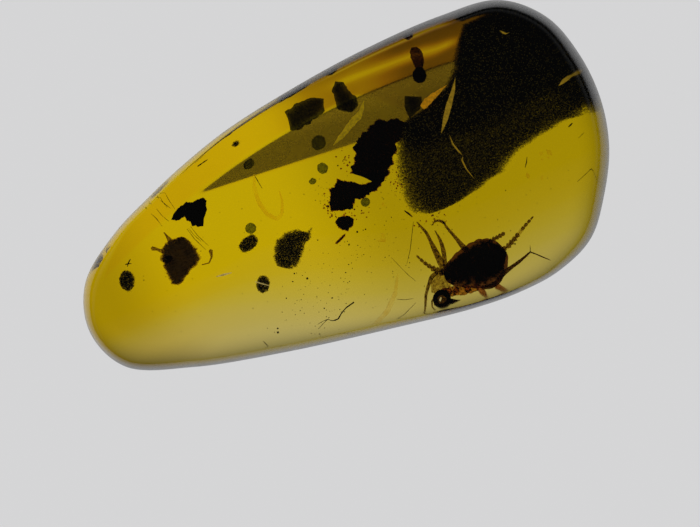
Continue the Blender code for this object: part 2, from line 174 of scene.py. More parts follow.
# stations round the stone, anticlockwise from its broad end: x, y, height of the widest line,
# width of the upper roll, width of the lower roll, how strong the painted shade along the rim is there and how
# wide
stone = dict(
    stations=[
        (13.95, 0.0, 3.4, 1.0, 0.9, 0.9, 2.2), (13.9, 2.5, 3.4, 1.0, 0.9, 0.95, 2.6),
        (13.2, 4.8, 3.5, 0.9, 0.9, 1.0, 2.6), (11.4, 6.55, 3.7, 0.8, 0.9, 1.0, 2.3),
        (8.4, 7.05, 3.9, 0.8, 1.0, 0.97, 1.7), (4.1, 7.1, 4.2, 0.6, 0.9, 0.8, 1.2),
        (0.0, 6.8, 4.4, 0.45, 0.6, 0.5, 0.8), (-3.7, 6.3, 4.4, 0.4, 0.4, 0.2, 0.5),
        (-6.6, 5.55, 4.4, 0.4, 0.4, 0.1, 0.5), (-8.5, 4.9, 4.4, 0.45, 0.4, 0.1, 0.5),
        (-10.85, 3.95, 4.4, 0.5, 0.45, 0.1, 0.5), (-13.2, 2.3, 4.4, 0.9, 0.9, 0.15, 0.5),
        (-14.0, 0.0, 4.2, 0.6, 0.6, 0.6, 1.2), (-13.1, -2.3, 3.8, 0.5, 0.5, 1.0, 2.2),
        (-10.1, -3.7, 3.6, 0.45, 0.45, 1.0, 1.7), (-5.8, -4.9, 3.5, 0.45, 0.45, 1.0, 1.5),
        (0.0, -6.15, 3.4, 0.4, 0.4, 1.0, 1.1), (4.0, -6.9, 3.4, 0.3, 0.35, 1.0, 1.1),
        (6.4, -7.1, 3.4, 0.3, 0.35, 1.0, 1.1), (8.5, -6.95, 3.4, 0.4, 0.45, 1.0, 1.4),
        (10.6, -6.15, 3.4, 0.7, 0.7, 0.97, 1.7), (12.15, -4.4, 3.4, 0.85, 0.8, 0.95, 1.9),
        (13.35, -2.35, 3.4, 0.95, 0.9, 0.9, 1.9)],
    around=300, outward=100, height=6.4, rollPower=2.0,
    # the top is a saddleback: its crest runs along y = crest, its cross curve eases from the broad end
    # to the narrow end, and it falls a little towards both
    crest=1.0, crossCurve=(0.011, 0.039), crossAt=(11.0, -5.0), longCurve=0.004,
    # below, a step: a scarp from its foot to its brow, whose edge is bent, and a shelf beyond the brow
    stepSlope=46.0, stepHeading=-6.0, stepFoot=3.06, brow=5.05, browAt=3.5, browBend=0.0125,
    shelfSlope=8.0, blend=0.15,
    rimSatin=0.3, rimWidth=(0.9, 0.7, -0.2), stepSatin=0.28, stepEase=(-0.1, 0.2),
    # painted shade: how fast the painted rim shade fades inwards, and a painted shade over the base towards the
    # broad end
    rindPower=2.4, cloudAt=(-3.0, 2.4), cloudShade=0.31,
    # the weathered yellow of the base is rubbed away past a line running from the first y of rubLine at
    # the narrow end to the second at the broad end, sharply at the narrow end and softly at the broad
    rubLine=(-1.1, -5.1), rubAt=(-9.5, 5.5), rubReach=(1.3, 3.0), softAt=(-9.0, -2.0), rubShade=0.19,
    endShade=0.3, endShadeAt=(-8.5, -12.5), endRubbed=0.7,
    # brown painted shade over the step: on the shelf in two steps, with a lighter streak along it where the
    # shade is less;
    # on the face of the step; and browner towards the narrow end. Past dropAt its lower line falls below the
    # brow
    skinEase=0.35, skinInside=0.15, shelfSkin=(0.1, 0.45, 0.4), skinSteps=((-2.0, 3.0), (3.0, 6.0)),
    streakAt=(0.84, 0.096, 0.24), streakSpan=((1.0, 3.0), (9.0, 8.0)), streakShare=0.72,
    stepSkin=(0.1, 0.8), stepSkinAt=(4.2, 6.4), endSkin=0.05, endAt=(-5.0, -12.0),
    skinDrop=2.2, dropAt=(2.8, 5.6), dropSoft=2.0,
)


def closedCurve(points, count):
    # centripetal Catmull-Rom curve through points, closed: each place blends three neighbouring spans
    points = np.asarray(points, float)
    total = len(points)
    stride = np.sqrt(np.linalg.norm(np.roll(points, -1, 0) - points, axis=1))
    knots = np.concatenate([[0.0], np.cumsum(stride)])
    t = np.linspace(0.0, knots[-1], count, endpoint=False)
    i = np.clip(np.searchsorted(knots, t, side="right") - 1, 0, total - 1)
    k1, k2 = knots[i], knots[i + 1]
    k0, k3 = k1 - stride[i - 1], k2 + stride[(i + 1) % total]
    t, k0, k1, k2, k3 = (a[:, None] for a in (t, k0, k1, k2, k3))
    p0, p1, p2, p3 = (points[(i + shift) % total] for shift in (-1, 0, 1, 2))
    a1 = ((k1 - t) * p0 + (t - k0) * p1) / (k1 - k0)
    a2 = ((k2 - t) * p1 + (t - k1) * p2) / (k2 - k1)
    a3 = ((k3 - t) * p2 + (t - k2) * p3) / (k3 - k2)
    b1 = ((k2 - t) * a1 + (t - k0) * a2) / (k2 - k0)
    b2 = ((k3 - t) * a2 + (t - k1) * a3) / (k3 - k1)
    return ((k2 - t) * b1 + (t - k1) * b2) / (k2 - k1)


def loopNormals(loop):
    # the chord between two neighbours, turned a quarter outwards
    chord = np.roll(loop, -1, 0) - np.roll(loop, 1, 0)
    chord /= np.linalg.norm(chord, axis=1)[:, None]
    return np.stack([chord[:, 1], -chord[:, 0]], 1)


def softLess(a, b, width):
    # the smaller of two, rounded over a width where they cross
    share = np.clip(0.5 + 0.5 * (b - a) / width, 0.0, 1.0)
    return b * (1.0 - share) + a * share - width * share * (1.0 - share)

def stoneShape(stone):
    # rings scaled from the outline: from the rim inwards both faces leave the widest line by the share
    # that their roll has risen, up to the dome of the top or down to the base, step and shelf
    s = SimpleNamespace(**stone)
    stations = closedCurve(s.stations, s.around)
    loop, (girdle, topRoll, underRoll, rimShade, rimShadeWidth) = stations[:, :2], stations[:, 2:].T
    normal = loopNormals(loop)
    reach = (loop * normal).sum(1)
    scale = np.sin(np.linspace(0.0, np.pi / 2, s.outward))[1:, None]
    x, y = loop[:, 0] * scale, loop[:, 1] * scale
    inside = (1.0 - scale) * reach
    slope, heading = math.tan(math.radians(s.stepSlope)), math.radians(s.stepHeading)

    def rolled(roll):
        # share risen: (1 - u^p)^(1/p), u = 1 - distance/roll
        u = np.clip(1.0 - inside / roll, 0.0, 1.0)
        return (1.0 - u ** s.rollPower) ** (1.0 / s.rollPower)

    def scarp(px, py):
        # height of the step's face: its slope times the distance past its foot, square to its heading
        return slope * (-math.sin(heading) * px + math.cos(heading) * py - s.stepFoot)

    brow = s.brow - s.browBend * (x - s.browAt) ** 2
    shelf = scarp(x, brow) + math.tan(math.radians(s.shelfSlope)) * (y - brow)
    base = -softLess(0.0 * x, -softLess(scarp(x, y), shelf, s.blend), s.blend)
    cross = between(s.crossCurve, ease(x, *s.crossAt))
    dome = s.height - cross * (y - s.crest) ** 2 / 2.0 - s.longCurve * x ** 2 / 2.0
    under = base + (girdle - base) * (1.0 - rolled(underRoll))
    over = dome - (dome - girdle) * (1.0 - rolled(topRoll))

    # how satin each place is: a rubbed band along the rim, and the face of the step
    band = s.rimWidth[0] + s.rimWidth[1] * normal[:, 0] + s.rimWidth[2] * normal[:, 1]
    rim = s.rimSatin * ease(inside, band, 0.0)
    onStep = ease(scarp(x, y), *s.stepEase) * ease(shelf - scarp(x, y), *s.stepEase)
    underSatin = np.maximum(rim, s.stepSatin * onStep)

    # how much light each place lets through: a painted shade along the rim of the top; below, a
    # painted shade towards the broad end, a darkening over the rubbed zone, and a shade over the narrow end
    clear = 1.0 - rimShade * np.clip(1.0 - inside / rimShadeWidth, 0.0, 1.0) ** s.rindPower
    past = between(s.rubLine, ease(x, *s.rubAt)) - y
    softness = between(s.rubReach, ease(x, *s.softAt))
    rubbed = np.clip(0.5 + 0.5 * past / np.where(past < 0.0, softness, s.rubReach[1]), 0.0, 1.0)
    narrowEnd = ease(x, *s.endShadeAt) * (1.0 - s.endRubbed * rubbed)
    underClear = (1.0 - s.cloudShade * ease(x, *s.cloudAt) * (1.0 - rubbed) - s.rubShade * rubbed
                  - s.endShade * narrowEnd)

    # how brown the painted shade over the step and shelf is, and how brown the narrow end
    steps = [ease(x, *span) for span in s.skinSteps]
    onShelf = s.shelfSkin[0] + s.shelfSkin[1] * steps[0] + s.shelfSkin[2] * steps[1]
    drop = ease(x, *s.dropAt)
    shadeLine = brow - s.skinInside - s.skinDrop * drop
    streak = np.exp(-((inside - s.streakAt[0] - s.streakAt[1] * x) / s.streakAt[2]) ** 2)
    for span in s.streakSpan:
        streak = streak * ease(x, *span)
    onShelf = onShelf * (1.0 - s.streakShare * streak)
    shelfEnd = shadeLine + s.skinEase * (1.0 + s.dropSoft * drop)
    skin = np.maximum(ease(y, shadeLine, shelfEnd) * onShelf, s.endSkin * ease(x, *s.endAt))
    skin = np.maximum(skin, (s.stepSkin[0] + s.stepSkin[1] * ease(x, *s.stepSkinAt)) * onStep)

    def overBoth(lower, upper, ends):
        # a mark for every point: the rings of the base, those of the top back in, and both middles
        upper = np.broadcast_to(upper, lower.shape)[-2::-1]
        return np.concatenate([lower.ravel(), upper.ravel(), ends])

    grid = np.concatenate([np.stack([x, y, under], -1), np.stack([x, y, over], -1)[-2::-1]])
    middleDrop = s.crest ** 2 / 2.0 * cross[0, 0]
    points, faces = wrapGrid(grid, (0.0, 0.0, 0.0), (0.0, 0.0, s.height - middleDrop))
    # clear carries the painted shade along the rim and over the base; skin carries the painted brown shade over
    # the step
    return points, faces, dict(
        satin=overBoth(underSatin, rim, (0.0, 0.0)), clear=overBoth(underClear ** 2, clear ** 2, (1.0, 1.0)),
        skin=overBoth(skin, 0.0, (0.0, 0.0)), rubbed=overBoth(rubbed, 1.0, (0.0, 1.0)))


def amberNodes(tree, place):
    # polished amber: a fossil resin, IOR 1.54, whose yellow comes from depth, since it swallows blue
    # within a millimetre; hand polish leaves fine swirls, and rubbed edges go satin. Its surface is darkened
    # by the painted shade in clear, browned by the painted shade in skin, and the weathered yellow of the base
    # goes where rubbed is 1
    satin, clear, skin, rubbed = readMarks(tree, "satin", "clear", "skin", "rubbed")
    swirl = addNode(tree, "TexNoise", {"Scale": 1 / (0.6 * mm), "Detail": 3.0, "Distortion": 1.5,
                                       "Vector": place})
    uneven = addNode(tree, "Math", {"operation": "MULTIPLY_ADD", 0: swirl, 1: 0.5, 2: 0.75})
    rough = addNode(tree, "Math", {"operation": "MULTIPLY", 0: satin, 1: uneven})
    brown = addNode(tree, "ValToRGB", {"Fac": skin, "stops": [
        (0.0, "#ffffff"), (0.12, "#ffe0a0"), (0.35, "#c89440"), (0.75, "#894d10"), (1.0, "#241204")]})
    yellow = addNode(tree, "ValToRGB", {"Fac": rubbed, "stops": [
        (0.0, "#ffd900"), (0.17, "#ffda04"), (0.27, "#ffde0f"), (0.38, "#ffe52e"), (0.5, "#ffeb59"),
        (0.67, "#fff1ae"), (0.83, "#fff8f3"), (1.0, "#ffffff")]})
    # the colour starts from the painted shade in clear
    colour = clear
    for tone in (brown, yellow):
        colour = addNode(tree, "Mix", {"data_type": "RGBA", "blend_type": "MULTIPLY", 0: 1.0, 6: colour,
                                       7: tone}, 2)
    shader = addNode(tree, "BsdfPrincipled", {"Transmission Weight": 1.0, "IOR": 1.54, "Roughness": rough,
                                              "Base Color": colour})
    depth = addNode(tree, "VolumeAbsorption", {"Color": (0.882, 0.775, 0.0, 1.0), "Density": 260.0})
    return {"Surface": shader, "Volume": depth}


amber = newMaterial("amberHandPolished", amberNodes)
stonePoints, stoneFaces, stoneMarks = stoneShape(stone)
makePiece("amber_stone", [(stonePoints, stoneFaces)], amber, "amber", "amber_top", "amber_base", **stoneMarks)
print("amber done:", len(stoneFaces), "triangles")


def letThrough(tree, shader, place, grain, colour, thin=0.0, soft=0.12, bareFrom=1.08):
    # frayed and thin places let the light past: they open where 0.9 * edge + thinness + noise of pitch
    # grain climbs past 1 - thin, over a range soft; what passes is tinted, and bare past bareFrom - thin
    edge, thinness = readMarks(tree, "edge", "thinness")
    fret = addNode(tree, "TexNoise", {"Scale": 1 / (grain * mm), "Detail": 4.0, "Roughness": 0.7,
                                      "Vector": place})
    nearEdge = addNode(tree, "Math", {"operation": "MULTIPLY_ADD", 0: edge, 1: 0.9, 2: fret})
    total = addNode(tree, "Math", {"operation": "ADD", 0: nearEdge, 1: thinness})
    gap = addNode(tree, "MapRange", {"From Min": 1.0 - thin, "From Max": 1.0 - thin + soft, "Value": total})
    bare = addNode(tree, "MapRange", {"From Min": bareFrom - thin, "From Max": bareFrom + 0.22 - thin,
                                      "Value": total})
    shade = addNode(tree, "Mix", {"data_type": "RGBA", 0: bare, 6: colour, 7: "#ffffff"}, 2)
    passing = addNode(tree, "BsdfTransparent", {"Color": shade})
    return {"Surface": addNode(tree, "MixShader", {0: gap, 1: shader, 2: passing})}


def grainNodes(tree, place, dark, pale, grain, cover, past, thin=0.0, soft=0.2, bareFrom=1.08):
    # packed grains of plant dust: dark grains with pale faces here and there, quite matt; grain is
    # the pitch of the grains in mm, cover how many of them look pale, soft how blurred the openings are
    cells = addNode(tree, "TexVoronoi", {"Scale": 1 / (grain * mm), "Vector": place}).node.outputs
    patch = addNode(tree, "TexNoise", {"Scale": 1 / (3.0 * grain * mm), "Detail": 3.0, "Vector": place})
    chosen = addNode(tree, "SeparateColor", {0: cells["Color"]})
    spread = addNode(tree, "Math", {"operation": "MULTIPLY_ADD", 0: patch, 1: 0.7, 2: chosen})
    paleness = addNode(tree, "MapRange", {"From Min": 1.35 - cover, "From Max": 1.5 - cover, "Value": spread})
    core = addNode(tree, "MapRange", {"From Min": 0.55, "From Max": 0.25, "Value": cells["Distance"]})
    fleck = addNode(tree, "Math", {"operation": "MULTIPLY", 0: paleness, 1: core})
    colour = addNode(tree, "Mix", {"data_type": "RGBA", 0: fleck, 6: dark, 7: pale}, 2)
    bump = addNode(tree, "Bump", {"Strength": 0.5, "Distance": 0.25 * grain * mm, "invert": True,
                                  "Height": cells["Distance"]})
    shader = addNode(tree, "BsdfPrincipled", {"Roughness": 0.85, "IOR": 1.1, "Base Color": colour,
                                              "Normal": bump})
    return letThrough(tree, shader, place, grain, past, thin, soft, bareFrom)


def fibreNodes(tree, place, dark, warm, fibre, turn, past, thin=0.0, rough=0.7, fret=0.1):
    # rotten wood or leaf: fibres of a given width in mm, stretched eightfold along the turn in
    # degrees, dark where it is charred and warm brown where light gets through
    along = addNode(tree, "Mapping", {"Rotation": (0.0, 0.0, math.radians(turn)), "Scale": (0.125, 1.0, 1.0),
                                      "Vector": place})
    strands = addNode(tree, "TexNoise", {"Scale": 1 / (fibre * mm), "Detail": 5.0, "Vector": along})
    blotch = addNode(tree, "TexNoise", {"Scale": 1 / (0.9 * mm), "Detail": 4.0, "Roughness": 0.6,
                                        "Vector": place})
    mixed = addNode(tree, "Math", {"operation": "MULTIPLY_ADD", 0: strands, 1: 0.5, 2: blotch})
    ramp = addNode(tree, "ValToRGB", {"Fac": mixed, "stops": [(0.475, dark), (0.825, warm)]})
    bump = addNode(tree, "Bump", {"Strength": 0.6, "Distance": 0.4 * fibre * mm, "Height": strands})
    shader = addNode(tree, "BsdfPrincipled", {"Roughness": rough, "IOR": 1.1, "Base Color": ramp,
                                              "Normal": bump})
    return letThrough(tree, shader, place, fret, past, thin)


def cuticleNodes(tree, place):
    # thick insect cuticle, glossy and nearly black; at the margin it is thinner, and red-brown
    # light gets through in blotches
    margin, = readMarks(tree, "margin")
    mottle = addNode(tree, "TexNoise", {"Scale": 1 / (0.36 * mm), "Detail": 4.0, "Roughness": 0.65,
                                        "Vector": place})
    blotch = addNode(tree, "Math", {"operation": "ADD", 0: margin, 1: mottle})
    ramp = addNode(tree, "ValToRGB", {"Fac": blotch, "stops": [
        (0.57, "#060404"), (0.69, "#3a1812"), (0.86, "#7c5044")]})
    pits = addNode(tree, "TexVoronoi", {"Scale": 1 / (0.05 * mm), "Vector": place})
    bump = addNode(tree, "Bump", {"Strength": 0.35, "Distance": 0.01 * mm, "Height": pits})
    shader = addNode(tree, "BsdfPrincipled", {"Roughness": 0.3, "IOR": 1.15, "Base Color": ramp,
                                              "Normal": bump})
    glow = addNode(tree, "MapRange", {"From Min": 0.59, "From Max": 0.78, "To Max": 0.85, "Value": blotch})
    passing = addNode(tree, "BsdfTransparent", {"Color": "#b09084"})
    return {"Surface": addNode(tree, "MixShader", {0: glow, 1: shader, 2: passing})}


def clearNodes(tree, place, dark, pale, patch, cover=0.5, rough=0.15):
    # thin cuticle or plant film soaked with resin: light passes, tinted and mottled; its index is
    # close to the amber's round it, so only 1.03 against it is left
    mottle = addNode(tree, "TexNoise", {"Scale": 1 / (patch * mm), "Detail": 4.0, "Roughness": 0.6,
                                        "Vector": place})
    ramp = addNode(tree, "ValToRGB", {"Fac": mottle, "stops": [(cover - 0.12, dark), (cover + 0.12, pale)]})
    bump = addNode(tree, "Bump", {"Strength": 0.3, "Distance": 0.1 * patch * mm, "Height": mottle})
    return {"Surface": addNode(tree, "BsdfPrincipled", {
        "Roughness": rough, "IOR": 1.03, "Transmission Weight": 1.0, "Base Color": ramp, "Normal": bump})}


def glintNodes(tree, place, colour, rough, glow):
    # the wall of a crack or bubble inside the resin, streaked: its glow is painted light, an emission
    # standing for the table's light that the wall throws upwards
    streak = addNode(tree, "TexNoise", {"Scale": 1 / (0.12 * mm), "Detail": 3.0, "Vector": place})
    uneven = addNode(tree, "MapRange", {"To Min": rough * 0.7, "To Max": rough * 1.3, "Value": streak})
    shade = addNode(tree, "Mix", {"data_type": "RGBA", 0: streak, 6: "#5a4810", 7: colour}, 2)
    return {"Surface": addNode(tree, "BsdfPrincipled", {
        "Metallic": 0.6, "Emission Strength": glow, "Roughness": uneven, "Base Color": shade,
        "Emission Color": shade})}


barkGrain = newMaterial("barkDustPacked", grainNodes, "#0c0b08", "#8c8a5c", 0.08, 0.55, "#c0bc88", soft=0.4)
frassGrain = newMaterial("frassPacked", grainNodes, "#24261a", "#c8c8a0", 0.085, 0.62, "#c4c09c", 0.52)
clotGrain = newMaterial("clotPacked", grainNodes, "#140f09", "#43361f", 0.1, 0.4, "#909468", 0.68,
                        soft=0.5, bareFrom=2.0)
woodRotten = newMaterial("woodRotten", fibreNodes, "#060404", "#241210", 0.06, 35.0, "#b07848")
woodCharred = newMaterial("woodCharred", fibreNodes, "#020202", "#0a0706", 0.05, 20.0, "#8a6a40", -0.1, 0.8)
leafBrown = newMaterial("leafBrowned", fibreNodes, "#2a201a", "#8a7264", 0.08, -50.0, "#b09c8c", 0.45,
                        fret=0.07)
hairBrown = newMaterial("plantHair", fibreNodes, "#1f1708", "#4a3a16", 0.04, 0.0, "#a09060", 0.36)
cuticleThick = newMaterial("cuticleThick", cuticleNodes)
cuticleThin = newMaterial("cuticleThin", clearNodes, "#6e5424", "#d8c890", 0.14)
cuticleBrown = newMaterial("cuticleBrown", clearNodes, "#3a2810", "#a89058", 0.12)
cuticleDark = newMaterial("cuticleDark", clearNodes, "#1c1008", "#6a4c28", 0.1)
cuticleRed = newMaterial("cuticleRed", clearNodes, "#5a2a18", "#b47c58", 0.12, 0.45)
cuticleMottled = newMaterial("cuticleMottled", clearNodes, "#140a04", "#dca04a", 0.11)
bandBrown = newMaterial("cuticleBanded", clearNodes, "#5c4824", "#a8966c", 0.08)
bandSkin = newMaterial("cuticleBandSkin", clearNodes, "#c8b888", "#f0e8c4", 0.08)
seedCoat = newMaterial("seedCoatRed", clearNodes, "#2a0a08", "#7a2c16", 0.1)
sporeFilm = newMaterial("sporeFilm", clearNodes, "#5c6330", "#8a9350", 0.1)
flowStain = newMaterial("resinFlowStained", clearNodes, "#f4e4bc", "#fffaee", 0.5, 0.5, 0.05)
# painted light: cracks and bubbles that glow by emission in place of the light they would catch
crackGlint = newMaterial("resinCrackGlint", glintNodes, "#ecc43c", 0.45, 0.36)
orangeGlint = newMaterial("resinCrackOrangeGlint", glintNodes, "#f0a810", 0.45, 0.55)
yellowGlint = newMaterial("resinCrackYellowGlint", glintNodes, "#d8bc18", 0.45, 0.5)
bubbleGlint = newMaterial("resinBubbleGlint", glintNodes, "#fff0c0", 0.3, 0.55)
print("materials done")


def evenPath(points, count, rounding=0):
    # places at equal steps of length along a line through points, then averaged with their neighbours
    points = np.asarray(points, float)
    length = np.concatenate([[0.0], np.cumsum(np.linalg.norm(np.diff(points, axis=0), axis=1))])
    t = np.linspace(0.0, length[-1], count)
    path = np.stack([np.interp(t, length, column) for column in points.T], 1)
    for _ in range(rounding):
        path[1:-1] = (path[:-2] + 2.0 * path[1:-1] + path[2:]) / 4.0
    return path


def flakeShape(left, right, thick, lift=0.0, ragged=0.06, relief=0.04, grain=0.2, seed=1,
               steps=(70, 44), square=0.6, rounding=1, taper=5.0, tilt=0.0, fade=0.1):
    # a scrap between two edge lines; they share their ends, so right leaves them out. Across it the place is
    # middle + half * cos(a)^square, its height thick/2 * sin(a)^square, thinner towards both ends,
    # and noise of pitch grain frets the edge by ragged and the faces by relief;
    # edge value = exp(-distance from the edge / fade)
    count, around = steps
    edgeA, edgeB = (evenPath(line, count + 2, rounding) for line in (left, [left[0], *right, left[-1]]))
    t = np.linspace(0.0, 1.0, count + 2)[:, None]
    angle = np.linspace(0.0, 2.0 * np.pi, around, endpoint=False)[None]
    swing, rise = np.cos(angle), np.sin(angle)
    swing = np.sign(swing) * np.abs(swing) ** square
    rise = np.sign(rise) * np.abs(rise) ** square
    middle, half = (edgeA + edgeB) / 2.0, (edgeB - edgeA) / 2.0
    xy = middle[:, None] + half[:, None] * swing[..., None]
    full = (1.0 - np.abs(2.0 * t - 1.0) ** taper) ** (1.0 / taper)
    flat = np.concatenate([xy, np.zeros_like(xy[..., :1])], -1)
    width = np.linalg.norm(half, axis=1)[:, None, None] + 1e-9
    outward = (xy - middle[:, None]) / width
    fret = layeredNoise(flat + seed * 3.1, grain * 2.0, seed, 4)[..., None]
    xy = xy + outward * fret * ragged * 2.0 * np.minimum(1.0, width / (4.0 * ragged + 1e-6))
    slope = tilt * (xy[..., 1] - middle[:, None, 1])
    z = thick / 2.0 * full * rise
    z = z + relief * full * np.abs(rise) * layeredNoise(
        np.stack([xy[..., 0], xy[..., 1], z * 3.0], -1), grain, seed + 9, 3) * 2.0
    z = z + slope + lift + flowHeight(xy[..., 0], xy[..., 1])
    grid = np.concatenate([xy, z[..., None]], -1)
    span = np.linalg.norm(np.diff(middle, axis=0), axis=1).sum()
    inside = np.minimum((1.0 - np.abs(swing)) * width[..., 0], np.minimum(t, 1.0 - t) * span)
    edge = np.exp(-inside / fade)
    return *wrapGrid(grid[1:-1], grid[0].mean(0), grid[-1].mean(0)), np.append(edge[1:-1], [1.0, 1.0])


def lumpShape(at, half, turn=0.0, lift=0.0, relief=0.03, grain=0.12, seed=1, steps=(30, 44), fade=0.03):
    # an ellipsoid by latitude and longitude, turned about Z, its skin pushed in and out by noise;
    # edge value = exp(-distance inside the outline / fade)
    rings, around = steps
    latitude = np.linspace(0.0, np.pi, rings + 2)[:, None]
    longitude = np.linspace(0.0, 2.0 * np.pi, around, endpoint=False)[None]
    ball = np.stack([np.sin(latitude) * np.cos(longitude), np.sin(latitude) * np.sin(longitude),
                     np.cos(latitude) + 0.0 * longitude], -1)
    skin = ball * np.asarray(half)
    skin = skin + ball * relief * 2.0 * layeredNoise(skin + seed * 5.3, grain, seed, 3)[..., None]
    c, s = math.cos(math.radians(turn)), math.sin(math.radians(turn))
    x = skin[..., 0] * c - skin[..., 1] * s + at[0]
    y = skin[..., 0] * s + skin[..., 1] * c + at[1]
    grid = np.stack([x, y, skin[..., 2] + flowHeight(at[0], at[1]) + lift], -1)
    edge = np.exp(-(1.0 - np.sin(latitude)) * min(half[:2]) / fade) + 0.0 * longitude
    return *wrapGrid(grid[1:-1], grid[0].mean(0), grid[-1].mean(0)), np.append(edge[1:-1], [0.0, 0.0])


def barShape(path, radii, lift=0.0, flat=1.0, steps=(40, 10), seed=1, rough=0.12):
    # a round bar carried along a path: ring radius from radii at equal steps, uneven by noise
    count, around = steps
    path = np.asarray(path, float)
    if path.shape[1] == 2:
        path = np.column_stack([path, np.zeros(len(path))])
    line = evenPath(path, count, 2)
    line[:, 2] += flowHeight(line[:, 0], line[:, 1]) + lift
    t = np.linspace(0.0, 1.0, count)
    radius = np.interp(t, np.linspace(0.0, 1.0, len(radii)), radii)
    radius = radius * (1.0 + rough * 2.0 * layeredNoise(line, 0.2, seed, 3))
    chord = np.gradient(line, axis=0)
    chord /= np.linalg.norm(chord, axis=1)[:, None]
    side = np.cross(chord, (0.0, 0.0, 1.0))
    side /= np.linalg.norm(side, axis=1)[:, None]
    above = np.cross(side, chord)
    angle = np.linspace(0.0, 2.0 * np.pi, around, endpoint=False)[None, :, None]
    ring = side[:, None] * np.cos(angle) + above[:, None] * np.sin(angle) * flat
    grid = line[:, None] + ring * radius[:, None, None]
    first = line[0] - chord[0] * radius[0] * 0.6
    last = line[-1] + chord[-1] * radius[-1] * 0.6
    return wrapGrid(grid, first, last)


def spineShape(path, count, length, thick, spread, lift=0.0, sides=(1, -1), span=(0.1, 0.95), seed=1):
    # slim three-sided spikes rooted along a path, leaning forward by spread degrees on each side
    draw = np.random.default_rng(seed)
    line = evenPath(np.asarray(path, float)[:, :2], 200, 2)
    place = np.linspace(span[0], span[1], count) + draw.uniform(-0.02, 0.02, count)
    index = np.clip((place * 199).astype(int), 1, 198)
    root, chord = line[index], line[index + 1] - line[index - 1]
    chord /= np.linalg.norm(chord, axis=1)[:, None]
    hand = np.resize(sides, count)[:, None]
    lean = np.radians(spread + draw.uniform(-12, 12, count))[:, None]
    across = np.stack([-chord[:, 1], chord[:, 0]], 1)
    ahead = chord * np.cos(lean) + across * np.sin(lean) * hand
    reach = length * draw.uniform(0.6, 1.1, count)[:, None]
    z = flowHeight(root[:, 0], root[:, 1]) + lift
    base = np.column_stack([root, z])
    tip = base + np.column_stack([ahead * reach, draw.uniform(-0.3, 0.3, count) * reach[:, 0]])
    beside = np.column_stack([-ahead[:, 1], ahead[:, 0], np.zeros(count)]) * thick
    up = np.array([0.0, 0.0, thick])
    points = np.stack([base + beside, base - beside - up * 0.5, base + up, tip], 1)
    order = np.array([(0, 2, 1), (0, 1, 3), (1, 2, 3), (2, 0, 3)])
    faces = (order[None] + 4 * np.arange(count)[:, None, None]).reshape(-1, 3)
    corner = points.reshape(-1, 3)[faces[:4]] - points[0].mean(0)
    volume = (corner[:, 0] * np.cross(corner[:, 1], corner[:, 2])).sum()
    return points.reshape(-1, 3), faces if volume > 0 else faces[:, ::-1]


def crumbShape(places, size, seed=1, lift=0.0, stretch=1.0):
    # many eight-sided crumbs at given places, each turned and sized by chance
    draw = np.random.default_rng(seed)
    places = np.asarray(places, float)
    count = len(places)
    scale = size * draw.uniform(0.5, 1.3, (count, 1, 1)) * draw.uniform(0.7, 1.3, (count, 1, 3))
    scale[..., 0] *= stretch
    corner = np.array([(1, 0, 0), (-1, 0, 0), (0, 1, 0), (0, -1, 0), (0, 0, 0.8), (0, 0, -0.8)], float)
    faces = np.array([(0, 2, 4), (2, 1, 4), (1, 3, 4), (3, 0, 4), (2, 0, 5), (1, 2, 5), (3, 1, 5), (0, 3, 5)])
    body = corner[None] * scale
    turn = draw.uniform(0, 2 * np.pi, (count, 1))
    x = body[..., 0] * np.cos(turn) - body[..., 1] * np.sin(turn) + places[:, :1]
    y = body[..., 0] * np.sin(turn) + body[..., 1] * np.cos(turn) + places[:, 1:2]
    z = body[..., 2] + flowHeight(places[:, :1], places[:, 1:2]) + lift + draw.uniform(-0.25, 0.25, (count, 1))
    every = (faces[None] + 6 * np.arange(count)[:, None, None]).reshape(-1, 3)
    return np.stack([x, y, z], -1).reshape(-1, 3), every


# the insect: body, head, limbs and feelers
abdomen = dict(
    left=[(3.2, -4.55), (3.55, -4.15), (4.2, -3.86), (4.95, -3.72), (5.5, -3.72), (5.95, -3.9), (6.3, -4.25),
          (6.5, -4.8)],
    right=[(3.2, -4.95), (3.45, -5.3), (4.0, -5.65), (4.6, -5.95), (5.15, -6.15), (5.7, -6.05), (6.2, -5.7),
           (6.5, -5.15)],
    thick=1.25, segments=9, groove=0.05, scallop=0.035, steps=(120, 96), rounding=6, seed=4,
)


